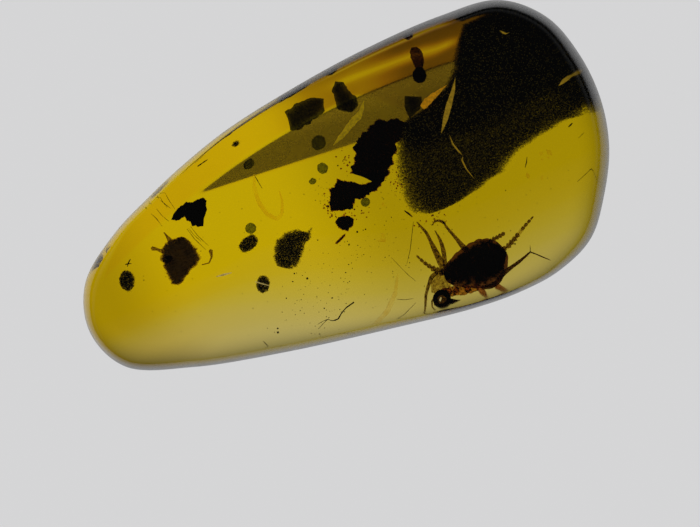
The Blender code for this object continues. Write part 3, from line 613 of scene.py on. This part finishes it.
def abdomenShape(a):
    # an oval dome between two edge lines; each body ring is a shallow step: height falls by the
    # groove share along it and jumps back, and the margin swells once per ring
    count, around = a["steps"]
    left, right = a["left"], [a["left"][0], *a["right"], a["left"][-1]]
    edgeA, edgeB = evenPath(left, count + 2, a["rounding"]), evenPath(right, count + 2, a["rounding"])
    t = np.linspace(0.0, 1.0, count + 2)[:, None]
    angle = np.linspace(0.0, 2.0 * np.pi, around, endpoint=False)[None]
    swing = np.sign(np.cos(angle)) * np.abs(np.cos(angle)) ** 0.8
    rise = np.sign(np.sin(angle)) * np.abs(np.sin(angle)) ** 0.9
    phase = (t * a["segments"]) % 1.0
    edge = np.exp(-((phase - 0.5) / 0.42) ** 8)
    swell = 1.0 + a["scallop"] * np.sin(np.pi * phase) - a["scallop"]
    middle, half = (edgeA + edgeB) / 2.0, (edgeB - edgeA) / 2.0
    xy = middle[:, None] + half[:, None] * (swing * swell)[..., None]
    xy[..., 0] += 0.1 * (1.0 - swing ** 2) * np.sin(np.pi * t)
    full = np.sqrt(np.clip(1.0 - (2.0 * t - 1.0) ** 2, 0.0, 1.0))
    step = 1.0 - a["groove"] * phase - a["groove"] * (1.0 - edge)
    z = a["thick"] / 2.0 * full * rise * step
    z += 0.02 * layeredNoise(np.stack([xy[..., 0], xy[..., 1], z], -1), 0.3, a["seed"], 4) * full
    z += flowHeight(xy[..., 0], xy[..., 1])
    grid = np.concatenate([xy, z[..., None]], -1)
    points, faces = wrapGrid(grid[1:-1], grid[0].mean(0), grid[-1].mean(0))
    # the margin is thinner: strong near the edge, and more towards the tail and the right side
    out = np.abs(swing)
    margin = out ** 3 * (0.34 + 0.08 * t) + 0.16 * ease(swing, 0.0, 1.0) * t * out
    margin = margin + 0.14 * ease(t, 0.75, 1.0)
    return points, faces, np.concatenate([margin[1:-1].ravel(), [0.1, 0.3]])


bodyPoints, bodyFaces, bodyMargin = abdomenShape(abdomen)
makePiece("insect_abdomen", [(bodyPoints, bodyFaces)], cuticleThick, "cuticle", "insect", margin=bodyMargin)

thorax = dict(
    shield=dict(left=[(3.3, -4.5), (3.0, -4.4), (2.7, -4.42), (2.45, -4.7), (2.3, -5.1)],
                right=[(3.45, -4.9), (3.3, -5.25), (2.9, -5.35), (2.5, -5.3)],
                thick=0.5, lift=0.05, ragged=0.05, relief=0.05, grain=0.25, seed=12, square=0.8, rounding=3),
    underside=[dict(at=(3.2, -5.45), half=(0.42, 0.22, 0.2), turn=-20, relief=0.07, grain=0.2, seed=21),
               dict(at=(3.7, -5.62), half=(0.5, 0.22, 0.2), turn=-12, relief=0.08, grain=0.2, seed=22),
               dict(at=(4.2, -5.82), half=(0.34, 0.16, 0.16), turn=-14, relief=0.06, grain=0.2, seed=23)],
)
makePiece("insect_shield", [flakeShape(**thorax["shield"])], cuticleThin, "cuticle")
makePiece("insect_breast", [lumpShape(**part) for part in thorax["underside"]],
          cuticleMottled, "cuticle")

circle = np.linspace(0.0, 2.0 * np.pi, 40)
head = dict(
    ring=dict(path=np.column_stack([2.64 + 0.34 * np.cos(circle), -5.62 + 0.33 * np.sin(circle),
                                    0.0 * circle + 0.1]), radii=(0.13, 0.15, 0.11, 0.14, 0.13), steps=(60, 14)),
    eye=dict(at=(2.64, -5.62), half=(0.3, 0.28, 0.2), relief=0.01, seed=33),
    glint=dict(at=(2.57, -5.6), half=(0.1, 0.05, 0.03), turn=50, lift=0.3, relief=0.03, grain=0.06, seed=34),
    collar=dict(at=(2.98, -5.38), half=(0.3, 0.2, 0.2), turn=-40, relief=0.03, grain=0.2, seed=32),
    beak=[(2.85, -5.85), (3.08, -5.93), (3.3, -6.0), (3.48, -6.04)],
    beakRadii=(0.16, 0.14, 0.07, 0.01),
    palps=[[(2.35, -5.35), (2.15, -5.5), (2.05, -5.75), (2.12, -5.95)],
           [(2.3, -5.5), (2.2, -5.7), (2.3, -5.85)]],
)
headShapes = [barShape(**head["ring"]), barShape(head["beak"], head["beakRadii"], seed=35)]
headMargin = np.full(sum(len(shape[0]) for shape in headShapes), 0.06)
makePiece("insect_head", headShapes, cuticleThick, "cuticle", margin=headMargin)
makePiece("insect_eye", [lumpShape(**head["eye"])], cuticleDark, "cuticle")
makePiece("insect_collar", [lumpShape(**head["collar"])], cuticleMottled, "cuticle")
makePiece("insect_eye_glint", [lumpShape(**head["glint"])], bubbleGlint, "cuticle")
makePiece("insect_palps", [barShape(path, (0.05, 0.04, 0.03), seed=36 + k)
                           for k, path in enumerate(head["palps"])], cuticleBrown, "cuticle")

# each limb: joints of the path, radii along it, spines as (count, length, thickness, spread)
limbs = dict(
    foreLeg=dict(path=[(2.95, -4.35), (2.63, -4.41), (2.28, -4.76), (1.98, -5.12), (1.8, -5.49),
                       (1.62, -5.8), (1.4, -6.01)],
                 radii=(0.12, 0.11, 0.09, 0.07, 0.06, 0.04, 0.03), lift=0.05, spines=(14, 0.13, 0.012, 50)),
    midLeg=dict(path=[(3.25, -4.5), (3.33, -4.12), (3.31, -3.6), (3.29, -3.09), (3.27, -2.4), (3.05, -1.72)],
                radii=(0.15, 0.17, 0.14, 0.09, 0.07, 0.03), lift=0.05, spines=(22, 0.16, 0.012, 35)),
    midFoot=dict(path=[(2.95, -1.4), (2.85, -1.18), (2.74, -0.98)], radii=(0.03, 0.045, 0.02), lift=0.05,
                 spines=(3, 0.08, 0.01, 45)),
    secondLeg=dict(path=[(3.45, -4.4), (3.52, -4.0), (3.65, -3.65), (3.73, -3.23), (3.74, -2.85),
                         (3.69, -2.46)],
                   radii=(0.13, 0.12, 0.11, 0.1, 0.06, 0.02), lift=-0.1, spines=(14, 0.16, 0.014, 40)),
    longLeg=dict(path=[(4.75, -4.0), (4.62, -3.7), (4.54, -3.4), (4.46, -3.12), (4.36, -2.8), (4.28, -2.53),
                       (4.23, -2.2)],
                 radii=(0.16, 0.13, 0.1, 0.08, 0.07, 0.06, 0.03), lift=0.05, spines=(20, 0.22, 0.014, 40)),
    longLegFoot=dict(path=[(4.3, -2.35), (4.1, -2.12), (3.88, -2.05), (3.66, -2.18)],
                     radii=(0.07, 0.06, 0.05, 0.02), lift=0.02, spines=(12, 0.16, 0.014, 60)),
    hindLeg=dict(path=[(4.7, -5.95), (5.1, -6.08), (5.47, -6.05), (5.94, -5.78), (6.37, -5.68), (6.85, -5.6),
                       (7.3, -5.48), (7.57, -5.39)],
                 radii=(0.1, 0.13, 0.13, 0.12, 0.1, 0.09, 0.06, 0.04), lift=0.0, spines=(26, 0.24, 0.012, 28)),
    hindFoot=dict(path=[(7.57, -5.39), (7.8, -5.62), (8.1, -5.95), (8.32, -6.18)],
                  radii=(0.035, 0.03, 0.028, 0.015), lift=0.0, spines=(5, 0.06, 0.008, 40)),
    hindSpur=dict(path=[(7.57, -5.39), (7.64, -5.25), (7.7, -5.08)], radii=(0.022, 0.016, 0.006), lift=0.0),
    farLeg=dict(path=[(4.45, -5.62), (4.55, -5.85), (4.66, -6.2), (4.74, -6.5)],
                radii=(0.08, 0.13, 0.14, 0.05), lift=-0.12, spines=(6, 0.14, 0.012, 30)),
    farHindLeg=dict(path=[(5.25, -5.97), (5.41, -6.2), (5.6, -6.45), (5.85, -6.7)],
                    radii=(0.08, 0.14, 0.13, 0.03), lift=-0.12, spines=(6, 0.14, 0.012, 30)),
)
limbCuticle = dict(hindLeg=cuticleDark, hindFoot=cuticleDark, hindSpur=cuticleDark, farLeg=cuticleRed,
                   farHindLeg=cuticleRed)
for name, limb in limbs.items():
    seed = 50 + len(name)
    shapes = [barShape(limb["path"], limb["radii"], limb["lift"], seed=seed)]
    if "spines" in limb:
        shapes.append(spineShape(limb["path"], *limb["spines"], limb["lift"], seed=seed))
    makePiece("insect_" + name, shapes, limbCuticle.get(name, cuticleBrown), "cuticle")

# banded feelers: rings of dark cuticle with clear skin between them
feelers = dict(
    tailLong=dict(path=[(6.15, -4.72), (6.66, -4.69), (7.22, -4.44), (7.8, -4.15), (8.43, -3.88)],
                  radii=(0.13, 0.14, 0.12, 0.1, 0.04), bands=11, gap=(6,)),
    tailShort=dict(path=[(5.75, -4.1), (6.1, -4.07), (6.44, -4.06), (6.79, -4.02)],
                   radii=(0.1, 0.12, 0.11, 0.1), bands=6, gap=()),
    mouthFeeler=dict(path=[(3.27, -4.52), (2.94, -4.22), (2.74, -3.93), (2.55, -3.62), (2.36, -3.17)],
                     radii=(0.16, 0.17, 0.12, 0.1, 0.04), bands=7, gap=()),
)


def bandShapes(feeler, seed):
    # short tapering drums strung along a path, each widest at its outer end, with gaps between
    line = evenPath(feeler["path"], 400, 3)
    shapes = []
    for k in range(feeler["bands"]):
        if k in feeler["gap"]:
            continue
        lo, hi = int((k + 0.15) / feeler["bands"] * 399), int((k + 0.75) / feeler["bands"] * 399)
        radius = np.interp((lo + hi) / 2 / 399, np.linspace(0, 1, len(feeler["radii"])), feeler["radii"])
        shapes.append(barShape(line[[lo, (lo + hi) // 2, hi]], (radius * 0.7, radius * 0.95, radius), 0.05,
                               steps=(9, 10), seed=seed + k, rough=0.2))
    return shapes


for name, feeler in feelers.items():
    seed = 80 + len(name)
    shapes = bandShapes(feeler, seed)
    shapes.append(spineShape(feeler["path"], 4 * feeler["bands"], 0.14, 0.01, 30, 0.05, seed=seed))
    makePiece("insect_" + name, shapes, bandBrown, "cuticle")
    thin = np.array(feeler["radii"]) * 0.8
    makePiece("insect_" + name + "_skin", [barShape(feeler["path"], thin, 0.05, seed=seed)], bandSkin,
              "cuticle")
print("insect done")

# bark, wood and leaf
bark = dict(
    left=[(9.2, 6.15), (8.5, 5.4), (8.0, 4.7), (7.55, 4.1), (6.9, 3.6), (5.5, 3.2), (4.2, 2.9), (3.35, 2.0),
          (2.95, 1.3), (2.7, 0.47), (2.6, -0.42), (2.75, -1.2), (3.4, -1.6), (4.24, -1.7)],
    right=[(11.35, 6.1), (12.8, 4.8), (13.4, 3.3), (13.6, 1.6), (13.55, 0.2), (13.0, -0.5), (12.26, -0.39),
           (11.54, -0.5), (10.65, -0.53), (9.8, -0.69), (9.05, -0.9), (8.4, -1.37), (7.72, -1.39),
           (6.75, -1.6), (5.72, -1.72), (4.96, -1.74)],
    thick=0.55, lift=0.15, ragged=0.1, relief=0.1, grain=0.3, seed=5, steps=(220, 110), square=0.45,
    taper=7.0,
    fade=np.interp(np.linspace(0.0, 1.0, 222), (0.0, 0.3, 0.55, 1.0), (0.9, 0.9, 0.4, 0.28))[:, None],
)
barkPoints, barkFaces, barkEdge = flakeShape(**bark)
# the crust thins out towards its lower left, and stays dense along the stone's rim
barkX, barkY = barkPoints[:, 0], barkPoints[:, 1]
dense = ease(barkX, 10.0, 12.0) * ease(barkY, -0.3, 0.5)
thinBark = 0.57 * ease(barkX, 15.4, 11.4) * ease(barkY, 3.6, 1.0)
makePiece("bark_crust_detail", [(barkPoints, barkFaces, barkEdge * (1.0 - 0.55 * dense))], barkGrain, "bark",
          "bark_crust", thinness=thinBark)

wood = dict(
    left=[(4.7, 2.75), (4.05, 2.25), (3.5, 1.85), (3.1, 1.4), (2.75, 0.95), (2.3, 0.6), (1.9, 0.5)],
    right=[(4.3, 3.3), (3.5, 3.48), (2.8, 3.5), (2.0, 3.1), (1.55, 2.4), (1.1, 1.75), (1.5, 1.4),
           (1.85, 0.98)],
    thick=0.55, lift=0.1, ragged=0.16, relief=0.12, grain=0.13, seed=6, steps=(180, 84), square=0.6, taper=4.0,
    fade=0.12,
)
woodFoot = dict(
    left=[(2.4, 0.95), (2.2, 0.55), (1.5, 0.42), (0.85, 0.4), (0.4, 0.22), (-0.25, 0.28), (-0.62, 0.5)],
    right=[(1.95, 1.0), (1.3, 1.08), (0.95, 1.4), (0.45, 1.78), (-0.2, 1.5), (-0.5, 0.95)],
    thick=0.45, lift=0.05, ragged=0.2, relief=0.12, grain=0.11, seed=16, steps=(160, 72), square=0.6, taper=4.0,
    fade=0.14,
)
crumb = dict(
    left=[(-0.66, -0.05), (-0.35, 0.12), (0.02, 0.02), (0.3, -0.3)],
    right=[(-0.6, -0.4), (-0.25, -0.72), (0.1, -0.6)],
    thick=0.4, ragged=0.12, relief=0.08, grain=0.1, seed=7, steps=(70, 50), taper=3.0,
)
splinter = dict(
    left=[(-0.35, -0.72), (-0.6, -0.78), (-0.85, -0.86), (-1.12, -0.98)],
    right=[(-0.45, -0.9), (-0.72, -1.0), (-1.0, -1.08)],
    thick=0.16, ragged=0.03, relief=0.02, grain=0.1, seed=8, steps=(40, 24), taper=8.0,
)
makePiece("wood_fragment_detail", [flakeShape(**wood), flakeShape(**woodFoot)], woodRotten, "wood",
          "wood_fragment")
makePiece("wood_crumb_detail", [flakeShape(**crumb)], woodRotten, "wood", "wood_crumb")
makePiece("wood_splinter_detail", [flakeShape(**splinter)], woodRotten, "wood", "wood_splinter")

charred = dict(
    left=[(-7.97, 3.31), (-7.72, 3.55), (-7.39, 3.68), (-6.97, 3.78), (-6.63, 3.66), (-6.28, 3.72),
          (-5.98, 3.45), (-6.12, 3.05), (-6.42, 2.75), (-6.65, 2.38)],
    right=[(-7.75, 3.16), (-7.5, 3.14), (-7.3, 3.12), (-7.2, 2.95), (-7.14, 2.66), (-6.9, 2.46)],
    thick=0.26, ragged=0.1, relief=0.05, grain=0.08, seed=9, steps=(130, 56), square=0.45, fade=0.05,
)
makePiece("black_flake_detail", [flakeShape(**charred)], woodCharred, "charred", "black_flake")

leaf = dict(
    left=[(-7.75, 2.4), (-7.5, 2.05), (-7.33, 1.5), (-7.36, 0.97), (-7.7, 0.8), (-8.05, 0.66), (-8.5, 0.42),
          (-9.0, 0.27)],
    right=[(-8.2, 2.5), (-8.58, 2.52), (-9.03, 2.35), (-9.37, 1.8), (-9.32, 1.2), (-9.42, 0.58)],
    thick=0.3, lift=-0.05, ragged=0.08, relief=0.06, grain=0.09, seed=10, steps=(120, 64), square=0.45,
)
leafSpurs = [dict(path=[(-9.0, 2.1), (-9.25, 2.35), (-9.42, 2.45)], radii=(0.1, 0.07, 0.1)),
             dict(path=[(-8.45, 2.45), (-8.5, 2.7), (-8.55, 2.9)], radii=(0.12, 0.06, 0.03)),
             dict(path=[(-7.5, 0.75), (-7.15, 0.68), (-6.9, 0.9), (-6.82, 1.2)], radii=(0.03, 0.03, 0.05, 0.1))]
makePiece("brown_flake_detail", [flakeShape(**leaf)], leafBrown, "leaf", "brown_flake")
makePiece("brown_flake_spurs", [barShape(lift=-0.05, flat=0.5, **spur) for spur in leafSpurs], bandBrown,
          "leaf")
makePiece("brown_flake_gall", [lumpShape((-8.88, 1.7), (0.3, 0.24, 0.2), 20.0, -0.05, fade=0.12, seed=66)],
          woodRotten, "leaf")

pear = dict(
    left=[(-1.66, 0.16), (-1.85, 0.32), (-2.15, 0.18), (-2.45, 0.46), (-3.04, 0.6), (-3.7, 0.44),
          (-3.97, 0.12), (-4.2, -0.27), (-4.25, -0.7), (-3.97, -0.98)],
    right=[(-1.85, -0.12), (-2.06, -0.42), (-2.4, -0.62), (-2.68, -0.85), (-2.95, -1.2), (-3.2, -1.3),
           (-3.56, -1.28)],
    thick=0.34, ragged=0.07, relief=0.06, grain=0.12, seed=11, steps=(90, 56), square=0.5,
)
makePiece("pear_flake_detail", [flakeShape(**pear)], frassGrain, "frass", "pear_flake")

clots = dict(
    edge_clot_left=dict(
        left=[(-0.75, 4.85), (-0.62, 5.3), (-0.6, 5.75), (0.1, 5.95), (0.97, 5.9), (1.42, 5.6)],
        right=[(-0.4, 4.68), (-0.08, 4.72), (0.6, 4.86), (1.2, 5.08)], seed=13),
    edge_clot_right=dict(
        left=[(2.3, 6.15), (1.95, 5.8), (1.85, 5.3), (1.8, 4.9), (2.05, 4.6), (2.4, 4.42)],
        right=[(2.65, 5.95), (2.68, 5.5), (2.88, 5.05), (2.85, 4.62)], seed=14),
)
for name, clot in clots.items():
    makePiece(name + "_detail", [flakeShape(thick=0.45, lift=0.1, ragged=0.06, relief=0.07, grain=0.12,
                                            **clot)], clotGrain, "leaf", name)

# pellets, spores, drop and speck
pellets = dict(
    pellet_left=dict(at=(-11.22, 1.54), half=(0.42, 0.56, 0.33), turn=-20, seed=41),
    pellet_upper=dict(at=(-4.98, 0.74), half=(0.6, 0.38, 0.3), turn=12, seed=42),
    pellet_lower=dict(at=(-5.16, -1.3), half=(0.5, 0.36, 0.28), turn=55, seed=43),
    spore_near_rim=dict(at=(-3.49, 5.35), half=(0.26, 0.18, 0.16), turn=10, seed=45),
)
for name, pellet in pellets.items():
    makePiece(name + "_detail", [lumpShape(relief=0.06, grain=0.12, steps=(44, 60), **pellet)], frassGrain,
              "frass", name)
makePiece("pellet_high_film", [lumpShape((0.27, 3.74), (0.38, 0.34, 0.2), 30, seed=46)], sporeFilm,
          "frass", "pellet_high")
makePiece("pellet_glint", [barShape([(-5.46, -1.06), (-5.21, -1.26), (-4.9, -1.52)], (0.02, 0.028, 0.02), 0.3,
                                    steps=(24, 8))], bubbleGlint, "frass")
# painted light: a pale crack that glows
makePiece("pale_crack_glint", [barShape([(-7.1, -0.06), (-6.75, -0.12), (-6.34, -0.19)], (0.02, 0.05, 0.02), 0.3,
                                  steps=(24, 8))], bubbleGlint, "amber")

spores = dict(
    upper=dict(at=(-0.09, 2.54), half=(0.27, 0.27, 0.14), seed=61),
    lower=dict(at=(1.14, 0.2), half=(0.24, 0.22, 0.14), seed=62),
    left=dict(at=(-4.56, 1.35), half=(0.27, 0.26, 0.1), seed=63),
    faint=dict(at=(-0.8, 2.17), half=(0.19, 0.15, 0.08), seed=64),
    stained=dict(at=(-3.31, 4.19), half=(0.3, 0.22, 0.12), turn=20, seed=65),
)
makePiece("spore_discs", [lumpShape(relief=0.02, **spore) for spore in spores.values()], sporeFilm, "frass")

brownChip = dict(left=[(5.1, 4.09), (4.83, 3.52), (4.85, 3.01)],
                 right=[(5.87, 3.73), (5.56, 3.19)],
                 thick=0.25, lift=0.2, ragged=0.05, relief=0.03, grain=0.12, seed=67, steps=(50, 40), fade=0.16)
makePiece("brown_chip", [flakeShape(**brownChip)], clotGrain, "leaf")
drop = dict(at=(6.2, 4.73), half=(0.4, 0.35, 0.3), turn=65, relief=0.02, seed=47)
dropStem = dict(path=[(6.32, 5.0), (6.45, 5.4), (6.5, 5.8), (6.45, 6.0)], radii=(0.16, 0.26, 0.34, 0.2))
makePiece("black_drop_detail", [lumpShape(**drop)], woodCharred, "charred", "black_drop")
makePiece("black_drop_stem", [barShape(flat=0.5, **dropStem)], cuticleDark, "charred")

speck = dict(at=(-5.85, -4.65), half=(0.27, 0.14, 0.12), turn=8, relief=0.06, grain=0.1, seed=48)
makePiece("red_speck_detail", [lumpShape(**speck)], seedCoat, "cuticle", "red_speck")
print("scraps done")

# thread, hairs and dust
threads = dict(
    main=dict(path=[(-3.52, -4.15), (-3.27, -4.11), (-2.96, -4.13), (-2.77, -4.3), (-2.48, -4.33),
                    (-2.22, -4.15), (-1.89, -4.0), (-1.42, -3.92)],
              radii=(0.01, 0.014, 0.02, 0.026, 0.032, 0.03, 0.03, 0.032)),
    fork=dict(path=[(-3.57, -4.36), (-3.23, -4.21), (-2.96, -4.13)], radii=(0.01, 0.015, 0.02)),
)
makePiece("root_thread_detail", [barShape(rough=0.3, steps=(60, 8), **thread) for thread in threads.values()],
          hairBrown, "leaf", "root_thread")

# paths of fine hairs and short dashes, with their thickness and height over the flow surface
hairs = [
    ([(2.9, -1.64), (2.57, -2.18), (2.18, -2.82), (1.75, -3.36)], 0.014, 0.3),
    ([(1.17, -2.73), (1.37, -3.28), (1.58, -3.83), (1.82, -4.31)], 0.01, 0.2),
    ([(1.4, -5.22), (0.63, -5.5), (-0.15, -5.6)], 0.012, 0.1),
    ([(-0.82, -5.66), (-0.61, -5.8), (-0.4, -5.86)], 0.03, -0.2),
    ([(-4.28, -4.72), (-4.36, -4.9), (-4.45, -5.1)], 0.035, -0.2),
    ([(-6.33, -3.78), (-6.26, -3.98), (-6.19, -4.19)], 0.016, 0.0),
    ([(0.59, -4.68), (0.92, -4.86), (1.36, -5.0)], 0.012, 0.1),
    ([(12.2, -2.87), (11.65, -3.08), (11.1, -3.25)], 0.016, 0.3),
    ([(12.4, -1.2), (12.2, -1.27), (12.04, -1.33)], 0.014, 0.3),
    ([(12.08, -0.53), (11.95, -0.58), (11.82, -0.63)], 0.03, 0.0),
    ([(9.33, -1.13), (9.2, -1.35), (9.03, -1.55)], 0.022, 0.2),
    ([(-5.67, 5.14), (-5.38, 5.19), (-5.08, 5.24)], 0.03, 0.3),
    ([(-3.29, 3.6), (-3.26, 3.2), (-3.22, 2.86)], 0.018, 0.2),
    ([(-8.05, 4.4), (-7.9, 4.1), (-7.75, 3.82)], 0.012, 0.2),
    ([(-7.36, 2.6), (-7.25, 2.2), (-7.05, 1.75)], 0.012, 0.2),
    ([(-8.75, 4.0), (-8.6, 3.66), (-8.5, 3.2)], 0.012, 0.2),
    ([(-7.69, 4.64), (-7.66, 4.2), (-7.57, 3.7)], 0.014, 0.2),
    ([(-8.0, 4.73), (-7.98, 4.3), (-7.89, 3.91)], 0.012, 0.2),
    ([(-8.4, 4.1), (-8.3, 3.7), (-8.1, 3.3)], 0.012, 0.2),
    ([(-7.44, 2.6), (-7.3, 2.0), (-7.02, 1.31)], 0.014, 0.2),
    ([(-7.23, 2.64), (-7.1, 2.1), (-6.82, 1.44)], 0.012, 0.2),
    ([(2.9, -1.3), (2.8, -1.15), (2.71, -0.96)], 0.03, 0.1),
    ([(-10.95, 2.28), (-10.8, 2.26), (-10.65, 2.2)], 0.03, 0.1),
    ([(-10.61, 2.41), (-10.75, 2.32), (-10.9, 2.15)], 0.025, 0.1),
]
makePiece("plant_hairs", [barShape(path, (0.6 * r, r, 0.9 * r, 0.5 * r), lift, steps=(30, 6), seed=100 + k,
                                   rough=0.4) for k, (path, r, lift) in enumerate(hairs)], hairBrown, "leaf")

draw = np.random.default_rng(21)
crumbs = dict(
    named=[(-0.47, -1.32), (1.59, -2.16), (-1.19, -2.47), (0.97, -3.37), (-2.32, -3.28), (-2.89, -3.57),
           (-3.63, -4.6), (-1.72, -5.43), (-1.51, -5.58), (-5.42, -3.51), (-5.49, -3.69), (0.59, -0.99),
           (0.16, -0.93), (-1.79, -0.49), (-3.53, -1.47), (-3.77, -1.79), (-3.05, -1.94), (-4.4, -2.37),
           (0.65, 2.35), (7.2, -4.6), (7.05, -4.72)],
    chips=[(1.25, -1.6), (1.1, -1.75), (0.98, -1.78), (1.2, -1.85), (1.88, -0.25), (1.95, -0.36),
           (9.0, -1.97), (9.59, -2.36), (10.05, -1.24), (10.43, -1.37), (9.97, -1.54), (10.28, -1.57)],
    # crumbs fallen off the wood, and clouds of dust: centre, spread, count
    wood=[((-0.6, 0.6), (0.18, 0.25), 36), ((0.3, -0.1), (0.5, 0.25), 30), ((3.1, 0.4), (0.25, 0.6), 40),
          ((3.9, -1.9), (0.5, 0.2), 26), ((1.2, 2.2), (0.3, 0.4), 24)],
    clouds=[((-2.8, -3.2), (1.5, 1.1), 110), ((0.4, -2.2), (1.6, 1.2), 80), ((2.6, 0.3), (0.5, 0.8), 40),
            ((-0.6, 1.2), (0.25, 0.5), 36), ((6.0, -3.0), (2.5, 0.8), 36), ((-6.0, 0.5), (4.5, 2.0), 60)],
)


def scattered(clouds):
    # places strewn by chance round each centre, as densely as its normal spread says
    return np.concatenate([draw.normal(centre, spread, (count, 2)) for centre, spread, count in clouds])


dustPlaces = scattered(crumbs["clouds"])
dustX, dustY = dustPlaces.T
inStone = (np.abs(dustX) < 11.5) & (dustY > -5.2 - 0.1 * dustX) & (dustY < 4.0)
makePiece("resin_dust", [crumbShape(dustPlaces[inStone], 0.024, 71), crumbShape(crumbs["named"], 0.05, 72)],
          hairBrown, "leaf")
makePiece("resin_chips", [crumbShape(crumbs["chips"], 0.1, 73, 0.0, 1.8)], flowStain, "leaf")
makePiece("wood_dust", [crumbShape(scattered(crumbs["wood"]), 0.045, 74, 0.1)], cuticleRed, "wood")

# cracks and flow lines in the resin
# bright slits in and beside the crust, by their left and right edge lines; their brightness is a painted glow
slits = [
    dict(left=[(7.75, 3.9), (7.3, 3.4), (6.75, 2.85), (6.3, 2.25), (5.95, 1.68)],
         right=[(7.48, 3.35), (7.0, 2.7), (6.5, 2.13)]),
    dict(left=[(6.3, 1.48), (6.22, 1.0), (6.33, 0.55), (6.46, 0.28)],
         right=[(6.3, 0.98), (6.41, 0.55)]),
    dict(left=[(6.46, 0.24), (6.3, 0.1), (6.32, -0.4), (6.52, -1.05)],
         right=[(6.38, 0.07), (6.39, -0.4)]),
    dict(left=[(12.2, 1.4), (12.5, 1.62), (12.85, 1.68), (13.1, 1.62)],
         right=[(12.55, 1.42), (12.9, 1.5)]),
    dict(left=[(10.71, 5.11), (10.84, 4.98), (10.95, 4.85), (11.12, 4.81)],
         right=[(10.78, 4.9), (10.9, 4.8)]),
]
yellowSlits = [
    dict(left=[(3.2, 4.75), (2.65, 4.3), (1.88, 4.01), (1.37, 3.69), (0.84, 3.34)],
         right=[(3.0, 4.35), (2.66, 3.98), (2.0, 3.72), (1.4, 3.45)]),
]
orangeSlits = [
    dict(left=[(7.22, 3.74), (6.5, 3.66), (5.95, 3.6), (5.6, 3.35)],
         right=[(6.7, 3.5), (6.1, 3.22), (5.67, 3.13)]),
]
# each group: its slits, finish, how ragged they are and at what pitch, and its first seed
crackGroups = dict(
    resin_cracks=(slits, crackGlint, 0.012, 0.2, 90),
    resin_cracks_yellow=(yellowSlits, yellowGlint, 0.05, 0.1, 110),
    resin_cracks_orange=(orangeSlits, orangeGlint, 0.05, 0.1, 110),
)
for name, (group, glint, ragged, grain, seed) in crackGroups.items():
    makePiece(name, [flakeShape(thick=0.05, lift=0.62, ragged=ragged, relief=0.01, grain=grain, seed=seed + k,
                                steps=(40, 20), tilt=-0.12, **slit) for k, slit in enumerate(group)],
              glint, "amber")

flowLines = [
    ([(-3.29, 3.63), (-3.57, 3.03), (-3.66, 2.33), (-3.53, 1.63), (-3.18, 1.22), (-2.85, 1.35), (-2.58, 1.9),
      (-2.5, 2.41)], (0.03, 0.08, 0.1, 0.1, 0.1, 0.08, 0.06, 0.03)),
    ([(1.12, -3.62), (0.63, -4.4), (-0.06, -5.0), (-0.92, -5.35), (-1.76, -5.45), (-2.81, -5.3)],
     (0.04, 0.1, 0.12, 0.1, 0.08, 0.03)),
]
makePiece("resin_flow_lines", [barShape(path, radii, 0.2, 0.5, steps=(80, 12), seed=95 + k, rough=0.2)
                               for k, (path, radii) in enumerate(flowLines)], flowStain, "amber")
rimCrack = dict(left=[(-3.21, 6.05), (-2.58, 6.17), (-1.82, 6.25), (-0.89, 6.33)],
                right=[(-2.58, 6.1), (-1.82, 6.19)])
makePiece("rim_crack", [flakeShape(thick=0.25, lift=0.1, ragged=0.02, relief=0.02, grain=0.2, seed=97,
                                   steps=(60, 20), **rimCrack)], woodRotten, "amber")
print("cracks, hairs and dust done")
# floor, light and camera
light = dict(
    floorPlace=(-0.8, -2.3, -0.3), floorColour="#4a4a4a", floorGlow=0.668, glowTint=(0.99, 0.99, 1.0, 1.0),
    glowInner=22.0, glowOuter=32.0,
    # room: dark overhead, paler towards the horizon; heights are sines of the elevation
    sky=(0.97, 0.99, 1.0, 1.0), overhead=0.035, horizon=0.155, horizonLow=0.2, horizonHigh=0.85,
)
view = dict(place=(-0.825, -2.278, 302.5), roll=24.65, lens=308.6, sensor=36.0)


def tableNodes(tree, place):
    # opal acrylic: white, matt, lit from below, evenly under the stone and less and less away from it
    away = addNode(tree, "VectorMath", {"operation": "LENGTH", 0: place}, "Value")
    glow = addNode(tree, "MapRange", {
        "interpolation_type": "SMOOTHSTEP", "From Min": light["glowInner"] * mm,
        "From Max": light["glowOuter"] * mm, "To Min": light["floorGlow"], "To Max": 0.0, "Value": away})
    return {"Surface": addNode(tree, "BsdfPrincipled", {
        "Base Color": light["floorColour"], "Roughness": 0.9, "Emission Color": light["glowTint"],
        "Emission Strength": glow})}


bpy.ops.mesh.primitive_plane_add(size=2.0, location=Vector(light["floorPlace"]) * mm)
floor = bpy.context.object
floor.name = "floor"
floor.data.materials.append(newMaterial("lightTableOpal", tableNodes))

# a dim room, paler towards the horizon
world = bpy.data.worlds.new("room")
bpy.context.scene.world = world
world.use_nodes = True
tree = world.node_tree
sky = tree.nodes["Background"]
sky.inputs["Color"].default_value = light["sky"]
place = addNode(tree, "TexCoord", {}, "Generated")
height = addNode(tree, "SeparateXYZ", {0: place}, "Z")
dusk = addNode(tree, "MapRange", {
    "interpolation_type": "SMOOTHSTEP", "From Min": light["horizonLow"], "From Max": light["horizonHigh"],
    "To Min": light["horizon"], "To Max": light["overhead"], "Value": height})
tree.links.new(dusk, sky.inputs["Strength"])

lens = bpy.data.cameras.new("camera")
lens.sensor_width = view["sensor"]
lens.lens = view["lens"]
lens.clip_start = 1.0 * mm
camera = bpy.data.objects.new("camera", lens)
camera.location = Vector(view["place"]) * mm
camera.rotation_euler = (0.0, 0.0, -math.radians(view["roll"]))
bpy.context.scene.collection.objects.link(camera)
bpy.context.scene.camera = camera
bpy.context.scene.view_settings.view_transform = "Standard"
print("stage done")
